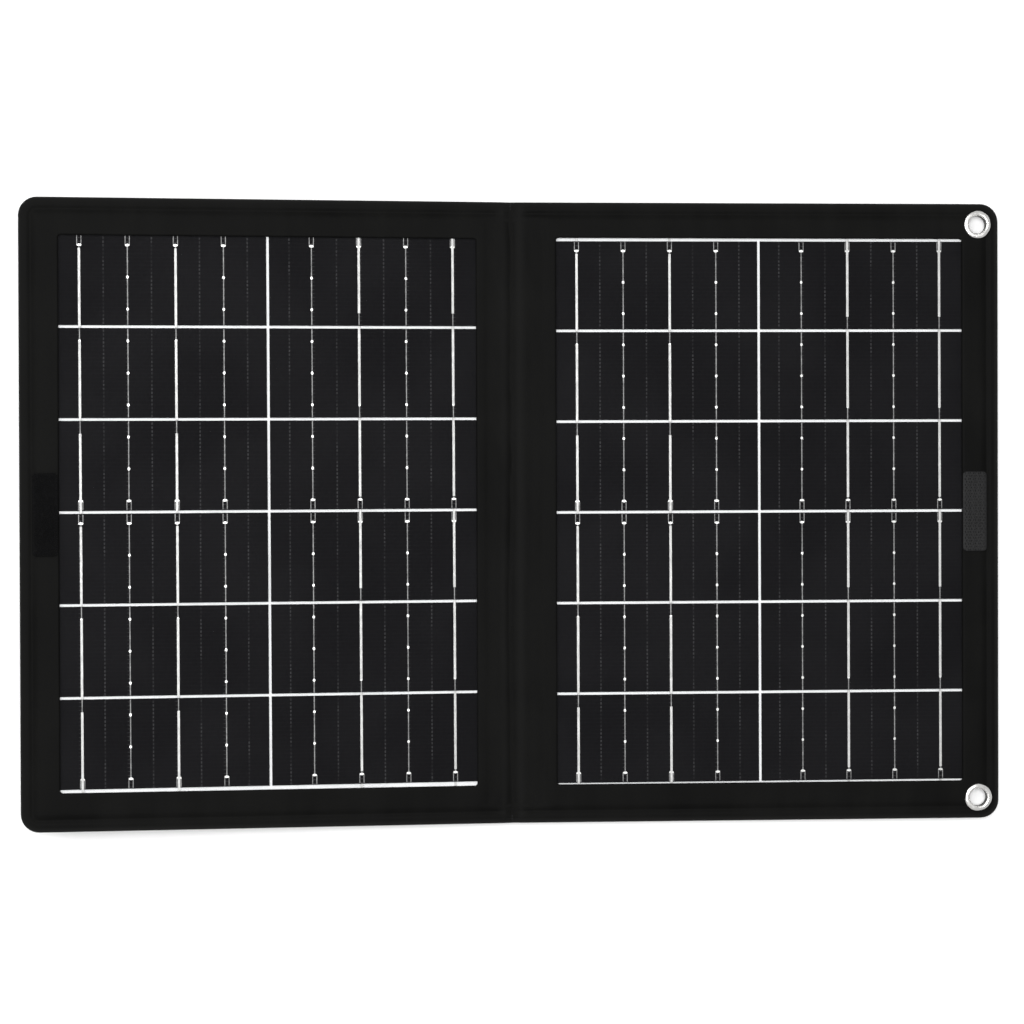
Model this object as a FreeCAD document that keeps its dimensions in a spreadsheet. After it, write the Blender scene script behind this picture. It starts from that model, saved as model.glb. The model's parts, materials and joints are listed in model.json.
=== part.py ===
import FreeCAD, Part
import Sketcher
import math
import os
import re

# Two-wing folding solar panel with a soft, book-like cover, in millimetres.
#
# The kit lies open on its back. +Z is the way the cells face, +X runs from the crease
# over the right wing, +Y runs along the crease. The origin is the middle of the crease
# at the height of the surface that the kit lies on. Every wing is drawn flat, with its
# back face at z = 0 and the crease at x = 0. The left wing is then turned about the
# fold's axis until the controller on its back touches the surface.

document = FreeCAD.newDocument("folding_solar_panel")
os.makedirs("parts", exist_ok=True)

SIZES = {
    # outline of one wing, from the crease to its outer edge
    "wing_width": 170.0,
    "wing_height": 216.0,
    "corner_radius": 6.3,
    "rim_width": 4.0,
    "spine_half": 9.0,
    "crease_gap": 0.3,
    # skins, from the back of the wing to its front
    "back_skin": 0.9,
    "board_thickness": 1.8,
    "backsheet_thickness": 0.35,
    "encapsulant_thickness": 0.3,
    "film_thickness": 0.4,
    "front_skin": 0.8,
    "layer_clearance": 0.2,
    "pan_corner": 4.0,
    "pan_edge_round": 0.8,
    "cover_edge_round": 0.35,
    "layer_corner": 2.0,
    # pressed line along the rim of the front cover
    "press_line_width": 1.1,
    "press_line_depth": 0.25,
    "press_line_start": 3.0,
    # window over the cells: its margins, and how far each one sits off its place
    "window_near": 14.0,
    "window_outer": 13.0,
    "window_end": 13.0,
    "window_corner": 0.8,
    "right_window_shift": 0.2,
    "left_window_shift": -0.3,
    "right_window_rise": 0.7,
    "left_window_rise": 0.2,
    # cell strips: rows of a wafer cut across its busbars. The cover laps over their
    # outer sides, and a little of the white sheet shows at their ends.
    "cell_lap": 1.965,
    "cell_end_gap": 0.47,
    "cell_gap": 0.9,
    "cell_thickness": 0.2,
    "cell_rows": 6,
    "right_matrix_rise": 0.2,
    "left_matrix_rise": 0.95,
    "right_matrix_turn": 0.08,
    "left_matrix_turn": 0.15,
    # tinned ribbons and the strips that collect them
    "busbar_inset": 9.5,
    "busbar_pitch": 16.3,
    "ribbon_width": 0.8,
    "ribbon_thickness": 0.15,
    "ribbon_start": 4.4,
    "ribbon_reach": 22.0,
    "bus_width": 3.0,
    "bus_offset": 1.7,
    "bus_overhang": 1.5,
    # flat leads in the boards and across the crease
    "lead_width": 3.0,
    "lead_thickness": 0.25,
    "lead_play": 0.05,
    "lead_spacing": 6.0,
    "pin_radius": 0.5,
    "pin_clearance": 0.1,
    "terminal_pin_inset": 5.0,
    "return_pin_inset": 5.0,
    "supply_pin_spacing": 5.0,
    "supply_row": 6.0,
    # eyelets in the right wing's outer corners
    "eyelet_inset": 7.3,
    "eyelet_bore": 3.1,
    "eyelet_wall": 0.35,
    "eyelet_flange_width": 1.5,
    "eyelet_bead": 0.8,
    "eyelet_bead_inner_round": 0.45,
    "eyelet_bead_outer_round": 0.7,
    "eyelet_curl": 0.35,
    "eyelet_curl_reach": 0.8,
    "eyelet_clearance": 0.05,
    "washer_width": 1.35,
    "washer_thickness": 0.5,
    "eyelet_pad_gap": 0.35,
    # hook and loop closure
    "patch_width": 8.6,
    "patch_length": 28.2,
    "patch_thickness": 1.4,
    "patch_corner": 1.5,
    "closing_gap": 0.2,
    # controller on the back of the left wing
    "box_inset": 16.0,
    "box_width": 38.0,
    "box_length": 62.0,
    "box_headroom": 0.3,
    "box_wall": 1.2,
    "box_corner": 4.0,
    "box_edge_round": 0.8,
    "boss_inset": 4.4,
    "boss_radius": 2.0,
    "boss_shoulder": 0.9,
    "boss_clearance": 0.1,
    "screw_radius": 1.0,
    "screw_clearance": 0.05,
    "screw_head_radius": 1.9,
    "screw_head_height": 0.9,
    "screw_length": 5.6,
    "screw_recess_width": 0.45,
    "screw_recess_length": 2.0,
    "screw_recess_depth": 0.5,
    "board_edge_clearance": 0.5,
    "circuit_thickness": 1.0,
    "socket_wall": 0.3,
    "socket_clearance": 0.25,
    "socket_back": 0.1,
    "socket_spacing": 12.0,
    "usb_a_width": 13.1,
    "usb_a_height": 5.7,
    "usb_a_depth": 14.0,
    "usb_a_corner": 0.5,
    "usb_a_tongue_width": 11.1,
    "usb_a_tongue_height": 1.8,
    "usb_a_tongue_depth": 8.5,
    "usb_a_tongue_rise": 0.95,
    "usb_c_width": 8.94,
    "usb_c_height": 3.26,
    "usb_c_depth": 7.35,
    "usb_c_corner": 1.3,
    "usb_c_tongue_width": 6.7,
    "usb_c_tongue_height": 0.7,
    "usb_c_tongue_depth": 4.5,
    "light_across": 24.0,
    "light_along": 24.0,
    "light_radius": 1.5,
    "light_flange": 2.2,
    "light_flange_height": 0.8,
    "light_clearance": 0.05,
}

# Parts soldered to the circuit board: start from the controller's near side, middle
# along the crease, length, width and height
COMPONENTS = {
    "inductor": (6.0, -6.0, 6.0, 6.0, 1.9),
    "regulator_chip": (16.0, -2.0, 4.0, 5.0, 1.1),
    "blocking_diode": (6.0, 16.0, 4.5, 2.6, 1.8),
    "filter_capacitor": (15.0, -16.0, 4.3, 3.5, 1.6),
    "light_source": (23.4, -24.0, 1.2, 2.0, 0.8),
}
COMPONENT_SIZES = ("near", "middle", "length", "width", "height")
for component_name, component_sizes in COMPONENTS.items():
    for size_name, size in zip(COMPONENT_SIZES, component_sizes):
        SIZES[f"{component_name}_{size_name}"] = size

sheet = document.addObject("Spreadsheet::Sheet", "Sizes")
for row, (alias, size) in enumerate(SIZES.items(), 1):
    sheet.set(f"A{row}", alias.replace("_", " "))
    sheet.set(f"B{row}", str(size))
    sheet.setAlias(f"B{row}", alias)
document.recompute()


def bound(formula):
    """The formula as an expression that reads the sheet."""
    return re.sub(r"[a-z][a-z_]+", lambda word: "Sizes." + word.group(), str(formula))


def number(formula):
    """What the formula comes to with the sheet's sizes."""
    return float(sheet.evalExpression(bound(formula)))


# Heights of the layers above the back face of a wing
BOARD_BASE = "back_skin"
BOARD_TOP = BOARD_BASE + " + board_thickness"
ENCAPSULANT_BASE = BOARD_TOP + " + backsheet_thickness"
BACK_RIBBON_BASE = ENCAPSULANT_BASE + " + encapsulant_thickness"
CELL_BASE = BACK_RIBBON_BASE + " + ribbon_thickness"
CELL_TOP = CELL_BASE + " + cell_thickness"
FILM_BASE = CELL_TOP + " + ribbon_thickness"
FRONT_BASE = FILM_BASE + " + film_thickness"
FRONT_TOP = FRONT_BASE + " + front_skin"
RIM_BASE = FRONT_BASE + " - back_skin"
FOLD_HEIGHT = FRONT_TOP + " + patch_thickness + closing_gap / 2"

# Edges of the pan that the back cover makes, and of the layers inside it
PAN_OUTER = "wing_width - rim_width"
PAN_HALF = "(wing_height / 2 - rim_width)"
CAVITY_NEAR = "spine_half + back_skin"
CAVITY_OUTER = PAN_OUTER + " - back_skin"
CAVITY_HALF = f"({PAN_HALF} - back_skin)"
LAYER_NEAR = CAVITY_NEAR + " + layer_clearance"
LAYER_OUTER = CAVITY_OUTER + " - layer_clearance"
LAYER_HALF = f"({CAVITY_HALF} - layer_clearance)"
EYELET_BARREL = "(eyelet_bore + eyelet_wall)"
EYELET_FLANGE = f"({EYELET_BARREL} + eyelet_flange_width)"
EYELET_PAD = f"({EYELET_FLANGE} + eyelet_pad_gap)"
WALL_NOTCH = EYELET_PAD + " + back_skin"
LAYER_NOTCH = WALL_NOTCH + " + layer_clearance"

EYELET_X = "wing_width - eyelet_inset"
EYELET_Y = "(wing_height / 2 - eyelet_inset)"
EYELET_HOLE = EYELET_BARREL + " + eyelet_clearance"

WINDOW_WIDTH = "(wing_width - window_near - window_outer)"
WINDOW_HALF = "(wing_height / 2 - window_end)"
MATRIX_CENTRE = f"(window_near + {WINDOW_WIDTH} / 2)"
STRIP_WIDTH = f"({WINDOW_WIDTH} / 2 + cell_lap - cell_gap / 2)"
MATRIX_HALF = f"({WINDOW_HALF} - cell_end_gap)"
STRIP_PITCH = f"((2 * {MATRIX_HALF} + cell_gap) / cell_rows)"
STRIP_HEIGHT = f"({STRIP_PITCH} - cell_gap)"
BUS_NEAR = f"({MATRIX_HALF} + bus_offset)"
BUS_FAR = f"({MATRIX_HALF} + bus_offset + bus_width)"
OUTER_BUSBAR = f"(cell_gap / 2 + {STRIP_WIDTH} - busbar_inset)"
BUS_INNER_END = f"({OUTER_BUSBAR} - 2 * busbar_pitch - ribbon_width / 2 - bus_overhang)"
BUS_OUTER_END = f"({OUTER_BUSBAR} + ribbon_width / 2 + bus_overhang)"
LEAD_BASE = BOARD_TOP + " - lead_thickness"
LEAD_FLOOR = LEAD_BASE + " - lead_play"
WEB_LEAD_BASE = FRONT_BASE + " - lead_thickness"
MEAN_RISE = "(right_matrix_rise + left_matrix_rise) / 2"
LEAD_ROW = f"({BUS_NEAR} + bus_width / 2 + {MEAN_RISE})"
SECOND_LEAD_ROW = f"({LEAD_ROW} - lead_spacing)"

BOX_FAR = "(wing_width - box_inset)"
BOX_NEAR = "(wing_width - box_inset - box_width)"
BOX_HEIGHT = "(usb_a_height + 2 * (box_headroom + box_wall))"
SOCKET_LEVEL = f"-{BOX_HEIGHT} / 2"
INNER_PIN = f"({MATRIX_CENTRE} - {BUS_INNER_END} - terminal_pin_inset)"
OUTER_PIN = f"({MATRIX_CENTRE} + {BUS_INNER_END} + terminal_pin_inset)"
RETURN_PIN = f"({BOX_NEAR} + return_pin_inset)"
SUPPLY_PIN = f"({RETURN_PIN} + supply_pin_spacing)"
CIRCUIT_TOP = f"({SOCKET_LEVEL} + circuit_thickness / 2)"
CIRCUIT_BASE = f"({SOCKET_LEVEL} - circuit_thickness / 2)"
LID_FLOOR = f"(box_wall - {BOX_HEIGHT})"
LIGHT_X = f"{BOX_NEAR} + light_along"
SCREW_HOLE = "screw_radius + screw_clearance"
SOCKETS = {"usb_a": "socket_spacing", "usb_c": "-socket_spacing"}

# How far the left wing is tilted at rest: the round of the controller's near lower edge
# then touches the surface.
edge_centre_x = number(f"{BOX_NEAR} + box_edge_round")
edge_centre_z = number(f"{FOLD_HEIGHT} + {BOX_HEIGHT} - box_edge_round")
edge_reach = math.hypot(edge_centre_x, edge_centre_z)
fold_height = number(FOLD_HEIGHT)
REST_TILT = math.degrees(
    math.atan2(edge_centre_z, edge_centre_x)
    - math.asin((fold_height - number("box_edge_round")) / edge_reach)
)
FLAT = FreeCAD.Placement()
TILTED = FreeCAD.Placement(
    FreeCAD.Vector(0, 0, 0),
    FreeCAD.Rotation(FreeCAD.Vector(0, 1, 0), REST_TILT),
    FreeCAD.Vector(0, 0, fold_height),
)
RIGHT, LEFT = 1, -1
WINGS = {"right": RIGHT, "left": LEFT}
WING_PLACE = {RIGHT: FLAT, LEFT: TILTED}

nodes = []


def moved(x=0.0, y=0.0, z=0.0, turn=0.0):
    """A placement at a point, turned about Z by some degrees."""
    rotation = FreeCAD.Rotation(FreeCAD.Vector(0, 0, 1), turn)
    return FreeCAD.Placement(FreeCAD.Vector(x, y, z), rotation)


def new_body(name, placement):
    """A body that is written as the node of that name."""
    body = document.addObject("PartDesign::Body", name)
    body.Label = name
    body.Placement = placement
    nodes.append(body)
    return body


def new_sketch(body, name, plane="XY_Plane", level="0"):
    """A sketch on one of the body's own planes, lifted off it to a level."""
    sketch = body.newObject("Sketcher::SketchObject", name)
    features = body.Origin.OriginFeatures
    origin_plane = next(feature for feature in features if feature.Role == plane)
    sketch.AttachmentSupport = [(origin_plane, "")]
    sketch.MapMode = "FlatFace"
    sketch.setExpression("AttachmentOffset.Base.z", bound(level))
    return sketch


def fix(sketch, kind, geometry, point, formula):
    """Sets a point's X or Y in the sketch, or keeps it on the axis where that is zero."""
    size = number(formula)
    if abs(size) < 1e-9:
        axis = -2 if kind == "DistanceX" else -1
        sketch.addConstraint(Sketcher.Constraint("PointOnObject", geometry, point, axis))
        return
    ends = (-1, 1, geometry, point) if size > 0 else (geometry, point, -1, 1)
    index = sketch.addConstraint(Sketcher.Constraint(kind, *ends, abs(size)))
    sign = "" if size > 0 else "-"
    sketch.setExpression(f"Constraints[{index}]", bound(f"{sign}({formula})"))


def outline(sketch, points):
    """A closed outline of straight lines through points given as pairs of formulas."""
    places = [FreeCAD.Vector(number(x), number(y), 0) for x, y in points]
    count = len(points)
    first = sketch.GeometryCount
    for index in range(count):
        following = (index + 1) % count
        sketch.addGeometry(Part.LineSegment(places[index], places[following]))
    for index in range(count):
        following = (index + 1) % count
        joint = (first + index, 2, first + following, 1)
        sketch.addConstraint(Sketcher.Constraint("Coincident", *joint))
    upright = []
    level = []
    for index in range(count):
        following = points[(index + 1) % count]
        upright.append(points[index][0] == following[0])
        level.append(points[index][1] == following[1])
        if upright[index]:
            sketch.addConstraint(Sketcher.Constraint("Vertical", first + index))
        if level[index]:
            sketch.addConstraint(Sketcher.Constraint("Horizontal", first + index))
    for index, (x, y) in enumerate(points):
        if not upright[index - 1]:
            fix(sketch, "DistanceX", first + index, 1, x)
        if not level[index - 1]:
            fix(sketch, "DistanceY", first + index, 1, y)


def rectangle(sketch, left, right, bottom, top):
    """A rectangle between four formulas."""
    outline(sketch, [(left, bottom), (right, bottom), (right, top), (left, top)])


def circle(sketch, x, y, radius):
    """A circle whose centre and radius are formulas."""
    centre = FreeCAD.Vector(number(x), number(y), 0)
    normal = FreeCAD.Vector(0, 0, 1)
    geometry = sketch.addGeometry(Part.Circle(centre, normal, number(radius)))
    fix(sketch, "DistanceX", geometry, 3, x)
    fix(sketch, "DistanceY", geometry, 3, y)
    size = Sketcher.Constraint("Radius", geometry, number(radius))
    index = sketch.addConstraint(size)
    sketch.setExpression(f"Constraints[{index}]", bound(radius))


def rounded_rectangle(sketch, left, right, bottom, top, radius):
    """A rectangle between four formulas with its corners rounded to a radius."""
    x0, x1, y0, y1, r = (number(f) for f in (left, right, bottom, top, radius))
    normal = FreeCAD.Vector(0, 0, 1)
    ends = [
        ((x0 + r, y0), (x1 - r, y0)),
        ((x1, y0 + r), (x1, y1 - r)),
        ((x1 - r, y1), (x0 + r, y1)),
        ((x0, y1 - r), (x0, y0 + r)),
    ]
    centres = [(x1 - r, y0 + r), (x1 - r, y1 - r), (x0 + r, y1 - r), (x0 + r, y0 + r)]
    lines = []
    arcs = []
    for index in range(4):
        start, end = (FreeCAD.Vector(*place, 0) for place in ends[index])
        lines.append(sketch.addGeometry(Part.LineSegment(start, end)))
        ring = Part.Circle(FreeCAD.Vector(*centres[index], 0), normal, r)
        quarter = math.pi / 2
        bend = Part.ArcOfCircle(ring, (index - 1) * quarter, index * quarter)
        arcs.append(sketch.addGeometry(bend))
    for index in range(4):
        into = (lines[index], 2, arcs[index], 1)
        out = (arcs[index], 2, lines[(index + 1) % 4], 1)
        for joint in (into, out):
            sketch.addConstraint(Sketcher.Constraint("Tangent", *joint))
        kind = "Vertical" if index % 2 else "Horizontal"
        sketch.addConstraint(Sketcher.Constraint(kind, lines[index]))
    for arc in arcs[1:]:
        sketch.addConstraint(Sketcher.Constraint("Equal", arcs[0], arc))
    size = Sketcher.Constraint("Radius", arcs[0], r)
    sketch.setExpression(f"Constraints[{sketch.addConstraint(size)}]", bound(radius))
    fix(sketch, "DistanceY", lines[0], 1, bottom)
    fix(sketch, "DistanceX", lines[1], 1, right)
    fix(sketch, "DistanceY", lines[2], 1, top)
    fix(sketch, "DistanceX", lines[3], 1, left)


def across(side, distance):
    """A distance from the crease as an X of that side's wing."""
    return f"{'' if side == RIGHT else '-'}({distance})"


def wing_rectangle(sketch, side, near, far, half, rise="0"):
    """A rectangle on one wing: near and far from the crease, half its height, its rise."""
    top = f"{half} + {rise}" if rise != "0" else half
    bottom = f"-{half} + {rise}" if rise != "0" else f"-{half}"
    rectangle(sketch, across(side, near), across(side, far), bottom, top)


def notched_rectangle(sketch, near, far, half, notch):
    """A right wing's rectangle whose outer corners are hollowed round the eyelets."""
    centre_x = number(EYELET_X)
    centre_y = number(EYELET_Y)
    radius = number(notch)
    rise = math.sqrt(radius**2 - (number(half) - centre_y) ** 2)
    run = math.sqrt(radius**2 - (number(far) - centre_x) ** 2)
    x_near, x_far, y_half = number(near), number(far), number(half)
    corner_x = centre_x - rise
    corner_y = centre_y - run
    places = [
        (x_near, -y_half),
        (corner_x, -y_half),
        (x_far, -corner_y),
        (x_far, corner_y),
        (corner_x, y_half),
        (x_near, y_half),
    ]
    points = [FreeCAD.Vector(x, y, 0) for x, y in places]
    normal = FreeCAD.Vector(0, 0, 1)

    def hollow(centre, start, end):
        """The arc about an eyelet's centre from one point round to the other."""
        ring = Part.Circle(centre, normal, radius)
        angles = [math.atan2(p.y - centre.y, p.x - centre.x) for p in (start, end)]
        return Part.ArcOfCircle(ring, angles[0], angles[1])

    lower = hollow(FreeCAD.Vector(centre_x, -centre_y, 0), points[2], points[1])
    upper = hollow(FreeCAD.Vector(centre_x, centre_y, 0), points[4], points[3])
    bottom_line = sketch.addGeometry(Part.LineSegment(points[0], points[1]))
    lower_arc = sketch.addGeometry(lower)
    outer_line = sketch.addGeometry(Part.LineSegment(points[2], points[3]))
    upper_arc = sketch.addGeometry(upper)
    top_line = sketch.addGeometry(Part.LineSegment(points[4], points[5]))
    near_line = sketch.addGeometry(Part.LineSegment(points[5], points[0]))
    joints = [
        (bottom_line, 2, lower_arc, 2),
        (lower_arc, 1, outer_line, 1),
        (outer_line, 2, upper_arc, 2),
        (upper_arc, 1, top_line, 1),
        (top_line, 2, near_line, 1),
        (near_line, 2, bottom_line, 1),
    ]
    for joint in joints:
        sketch.addConstraint(Sketcher.Constraint("Coincident", *joint))
    for line in (bottom_line, top_line):
        sketch.addConstraint(Sketcher.Constraint("Horizontal", line))
    for line in (outer_line, near_line):
        sketch.addConstraint(Sketcher.Constraint("Vertical", line))
    for arc, sign in ((lower_arc, "-"), (upper_arc, "")):
        fix(sketch, "DistanceX", arc, 3, EYELET_X)
        fix(sketch, "DistanceY", arc, 3, sign + EYELET_Y)
        size = Sketcher.Constraint("Radius", arc, radius)
        sketch.setExpression(f"Constraints[{sketch.addConstraint(size)}]", bound(notch))
    fix(sketch, "DistanceX", near_line, 1, near)
    fix(sketch, "DistanceX", outer_line, 1, far)
    fix(sketch, "DistanceY", top_line, 1, half)
    fix(sketch, "DistanceY", bottom_line, 1, "-" + half)


def layer_outline(sketch, side, near, far, half, notch):
    """A wing's layer: notched round the eyelets on the right wing, plain on the left."""
    if side == RIGHT:
        notched_rectangle(sketch, near, far, half, notch)
    else:
        wing_rectangle(sketch, side, near, far, half)


def pad(body, sketch, length, reverse=False):
    """A pad of a sketch, along its normal or against it."""
    feature = body.newObject("PartDesign::Pad", sketch.Name + "_pad")
    feature.Profile = sketch
    feature.Reversed = reverse
    feature.setExpression("Length", bound(length))
    document.recompute()
    return feature


def pocket(body, sketch, depth, reverse=False):
    """A pocket of a sketch, against its normal or along it, that has to cut something."""
    before = body.Shape.Volume
    feature = body.newObject("PartDesign::Pocket", sketch.Name + "_pocket")
    feature.Profile = sketch
    feature.Reversed = reverse
    feature.setExpression("Length", bound(depth))
    document.recompute()
    if body.Shape.Volume > before - 1e-6:
        raise RuntimeError(f"{feature.Name} cuts nothing")
    return feature


def dress(body, kind, size, chosen):
    """A fillet or chamfer of the body's edges that the function chosen picks."""
    edges = body.Tip.Shape.Edges
    names = [f"Edge{index}" for index, edge in enumerate(edges, 1) if chosen(edge)]
    if not names:
        raise RuntimeError(f"{body.Name} has no edge to dress")
    base = body.Tip
    feature = body.newObject("PartDesign::" + kind, f"{body.Name}_{kind.lower()}")
    feature.Base = (base, names)
    feature.setExpression("Radius" if kind == "Fillet" else "Size", bound(size))
    document.recompute()
    return feature


def upright_at(corners):
    """Picks the upright edges at given places."""

    def chosen(edge):
        box = edge.BoundBox
        if box.XLength > 1e-4 or box.YLength > 1e-4:
            return False
        centre = box.Center
        return any(math.hypot(centre.x - x, centre.y - y) < 1e-3 for x, y in corners)

    return chosen


def level_at(height):
    """Picks every edge that lies at a height."""

    def chosen(edge):
        box = edge.BoundBox
        return box.ZLength < 1e-4 and abs(box.ZMin - height) < 1e-4

    return chosen


def ring_at(height, radius):
    """Picks the round edges of a radius at a height."""

    def chosen(edge):
        curve = edge.Curve
        flat = abs(edge.BoundBox.Center.z - height) < 1e-4 and edge.BoundBox.ZLength < 1e-4
        return flat and hasattr(curve, "Radius") and abs(curve.Radius - radius) < 1e-4

    return chosen


def repeat(body, originals, steps):
    """A pattern of features: each step is a pattern's kind and its settings, where an
    Offset is a formula."""
    several = body.newObject("PartDesign::MultiTransform", f"{originals[0].Name}_repeat")
    several.Originals = originals
    patterns = []
    for index, (kind, settings) in enumerate(steps):
        pattern = document.addObject(f"PartDesign::{kind}", f"{several.Name}_{index}")
        body.addObject(pattern)
        for setting, value in settings.items():
            if setting == "Offset":
                pattern.setExpression(setting, bound(value))
            else:
                setattr(pattern, setting, value)
        patterns.append(pattern)
    several.Transformations = patterns
    body.Tip = several
    document.recompute()
    return several


def origin_part(body, role):
    """One of the body's own axes or planes, as a pattern's reference."""
    found = next(f for f in body.Origin.OriginFeatures if f.Role == role)
    return (found, [""])


def along(body, axis, spacing, count, reverse=False):
    """A step of a pattern along one of the body's axes, or against it."""
    settings = {
        "Direction": origin_part(body, axis),
        "Reversed": reverse,
        "Mode": "Spacing",
        "Offset": spacing,
        "Occurrences": count,
    }
    return ("LinearPattern", settings)


def half_turn(body):
    """A step of a pattern that repeats everything turned half round about Z."""
    settings = {"Axis": origin_part(body, "Z_Axis"), "Angle": 180.0, "Occurrences": 2}
    return ("PolarPattern", settings)


def matrix_place(name, side):
    """Where the middle of a wing's cells is, turned as the string was laid down."""
    x = side * number(MATRIX_CENTRE)
    y = number(f"{name}_matrix_rise")
    return WING_PLACE[side] * moved(x, y, 0, number(f"{name}_matrix_turn"))


# Covers


def window_sides(name):
    """How far a wing's window starts and ends from the crease."""
    near = f"window_near + {name}_window_shift"
    return near, f"wing_width - window_outer + {name}_window_shift"


def front_cover(name, side):
    """The coated front skin: window, pressed line along the rim, eyelet holes."""
    body = new_body(f"{name}_front_cover", WING_PLACE[side])
    skin = new_sketch(body, f"{name}_front_outline", level=FRONT_BASE)
    wing_rectangle(skin, side, "crease_gap", "wing_width", "wing_height / 2")
    pad(body, skin, "front_skin")
    outer = side * number("wing_width")
    half = number("wing_height / 2")
    dress(body, "Fillet", "corner_radius", upright_at([(outer, half), (outer, -half)]))
    dress(body, "Fillet", "cover_edge_round", front_rim_edges(side))
    window = new_sketch(body, f"{name}_window", level=FRONT_TOP)
    window_near, window_far = window_sides(name)
    window_rise = f"{name}_window_rise"
    wing_rectangle(window, side, window_near, window_far, WINDOW_HALF, window_rise)
    pocket(body, window, "front_skin")
    near = side * number(window_near)
    far = side * number(window_far)
    rise = number(window_rise)
    top = number(WINDOW_HALF) + rise
    bottom = rise - number(WINDOW_HALF)
    corners = [(x, y) for x in (near, far) for y in (top, bottom)]
    dress(body, "Fillet", "window_corner", upright_at(corners))
    press_line(body, name, side)
    if side == RIGHT:
        holes = new_sketch(body, "front_eyelet_holes", level=FRONT_TOP)
        for sign in ("", "-"):
            circle(holes, EYELET_X, sign + EYELET_Y, EYELET_HOLE)
        pocket(body, holes, "front_skin")


def front_rim_edges(side):
    """Picks the top edges of the front cover round its outer three sides."""
    top = number(FRONT_TOP)
    crease = side * number("crease_gap")

    def chosen(edge):
        box = edge.BoundBox
        on_top = box.ZLength < 1e-4 and abs(box.ZMin - top) < 1e-4
        at_crease = abs(box.XMin - crease) < 1e-4 and abs(box.XMax - crease) < 1e-4
        return on_top and not at_crease

    return chosen


def press_line(body, name, side):
    """The shallow line pressed into the front skin where both skins are bonded."""
    line = new_sketch(body, f"{name}_press_line", level=FRONT_TOP)
    inner = "rim_width + press_line_width / 2"
    outer = "rim_width - press_line_width / 2"
    outer_x = across(side, f"wing_width - ({outer})")
    start = across(side, "press_line_start")
    inner_y = f"(wing_height / 2 - {inner})"
    outer_y = f"(wing_height / 2 - ({outer}))"
    inner_x = across(side, f"wing_width - ({inner})")
    inner_y = f"(wing_height / 2 - ({inner}))"
    points = [
        (start, "-" + outer_y),
        (outer_x, "-" + outer_y),
        (outer_x, outer_y),
        (start, outer_y),
        (start, inner_y),
        (inner_x, inner_y),
        (inner_x, "-" + inner_y),
        (start, "-" + inner_y),
    ]
    outline(line, points)
    pocket(body, line, "press_line_depth")
    for x, y, inset in ((outer_x, outer_y, outer), (inner_x, inner_y, inner)):
        corners = [(number(x), number(y)), (number(x), -number(y))]
        dress(body, "Fillet", f"corner_radius - ({inset})", upright_at(corners))


def back_cover(name, side):
    """The coated back skin: a pan round the board, with a rim bonded to the front."""
    body = new_body(f"{name}_back_cover", WING_PLACE[side])
    pan = new_sketch(body, f"{name}_pan")
    layer_outline(pan, side, "spine_half", PAN_OUTER, PAN_HALF, EYELET_PAD)
    pad(body, pan, RIM_BASE)
    near = side * number("spine_half")
    far = side * number(PAN_OUTER)
    half = number(PAN_HALF)
    sharp = [(near, half), (near, -half)]
    if side == LEFT:
        sharp += [(far, half), (far, -half)]
    dress(body, "Fillet", "pan_corner", upright_at(sharp))
    dress(body, "Fillet", "pan_edge_round", level_at(0.0))
    rim = new_sketch(body, f"{name}_rim", level=RIM_BASE)
    wing_rectangle(rim, side, "crease_gap", "wing_width", "wing_height / 2")
    pad(body, rim, "back_skin")
    outer = side * number("wing_width")
    edge = number("wing_height / 2")
    corners = upright_at([(outer, edge), (outer, -edge)])
    dress(body, "Fillet", "corner_radius", corners)
    cavity = new_sketch(body, f"{name}_cavity", level=FRONT_BASE)
    layer_outline(cavity, side, CAVITY_NEAR, CAVITY_OUTER, CAVITY_HALF, WALL_NOTCH)
    pocket(body, cavity, f"{FRONT_BASE} - back_skin")
    groove = new_sketch(body, f"{name}_web_grooves", level=FRONT_BASE)
    notch = new_sketch(body, f"{name}_wall_notches", level=FRONT_BASE)
    slot_half = "lead_width / 2 + lead_play"
    for row in (LEAD_ROW, SECOND_LEAD_ROW):
        low = f"{row} - ({slot_half})"
        high = f"{row} + {slot_half}"
        rectangle(groove, across(side, "crease_gap"), across(side, "spine_half"), low, high)
        rectangle(notch, across(side, "spine_half"), across(side, CAVITY_NEAR), low, high)
    pocket(body, groove, "lead_thickness + lead_play")
    pocket(body, notch, f"{FRONT_BASE} - ({LEAD_FLOOR})")
    holes = new_sketch(body, f"{name}_back_holes", level=FRONT_BASE)
    if side == RIGHT:
        for sign in ("", "-"):
            circle(holes, EYELET_X, sign + EYELET_Y, EYELET_HOLE)
    else:
        supply_holes(holes)
    pocket(body, holes, FRONT_BASE)


def supply_holes(sketch):
    """The two holes that the left wing's supply pins pass through."""
    for pin in (RETURN_PIN, SUPPLY_PIN):
        circle(sketch, across(LEFT, pin), "supply_row", "pin_radius + pin_clearance")


# Layers of the laminate


def plain_layer(node, side, base, thickness):
    """A sheet that fills the pan, notched round the eyelets on the right wing."""
    body = new_body(node, WING_PLACE[side])
    sketch = new_sketch(body, node + "_outline", level=base)
    layer_outline(sketch, side, LAYER_NEAR, LAYER_OUTER, LAYER_HALF, LAYER_NOTCH)
    pad(body, sketch, thickness)
    near = side * number(LAYER_NEAR)
    far = side * number(LAYER_OUTER)
    half = number(LAYER_HALF)
    sharp = [(near, half), (near, -half)]
    if side == LEFT:
        sharp += [(far, half), (far, -half)]
    dress(body, "Fillet", "layer_corner", upright_at(sharp))
    return body


def terminal_pins(side):
    """Where the pins of a wing's two terminals go down to its leads, from the crease."""
    return (INNER_PIN, OUTER_PIN) if side == RIGHT else (INNER_PIN, SUPPLY_PIN)


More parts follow.
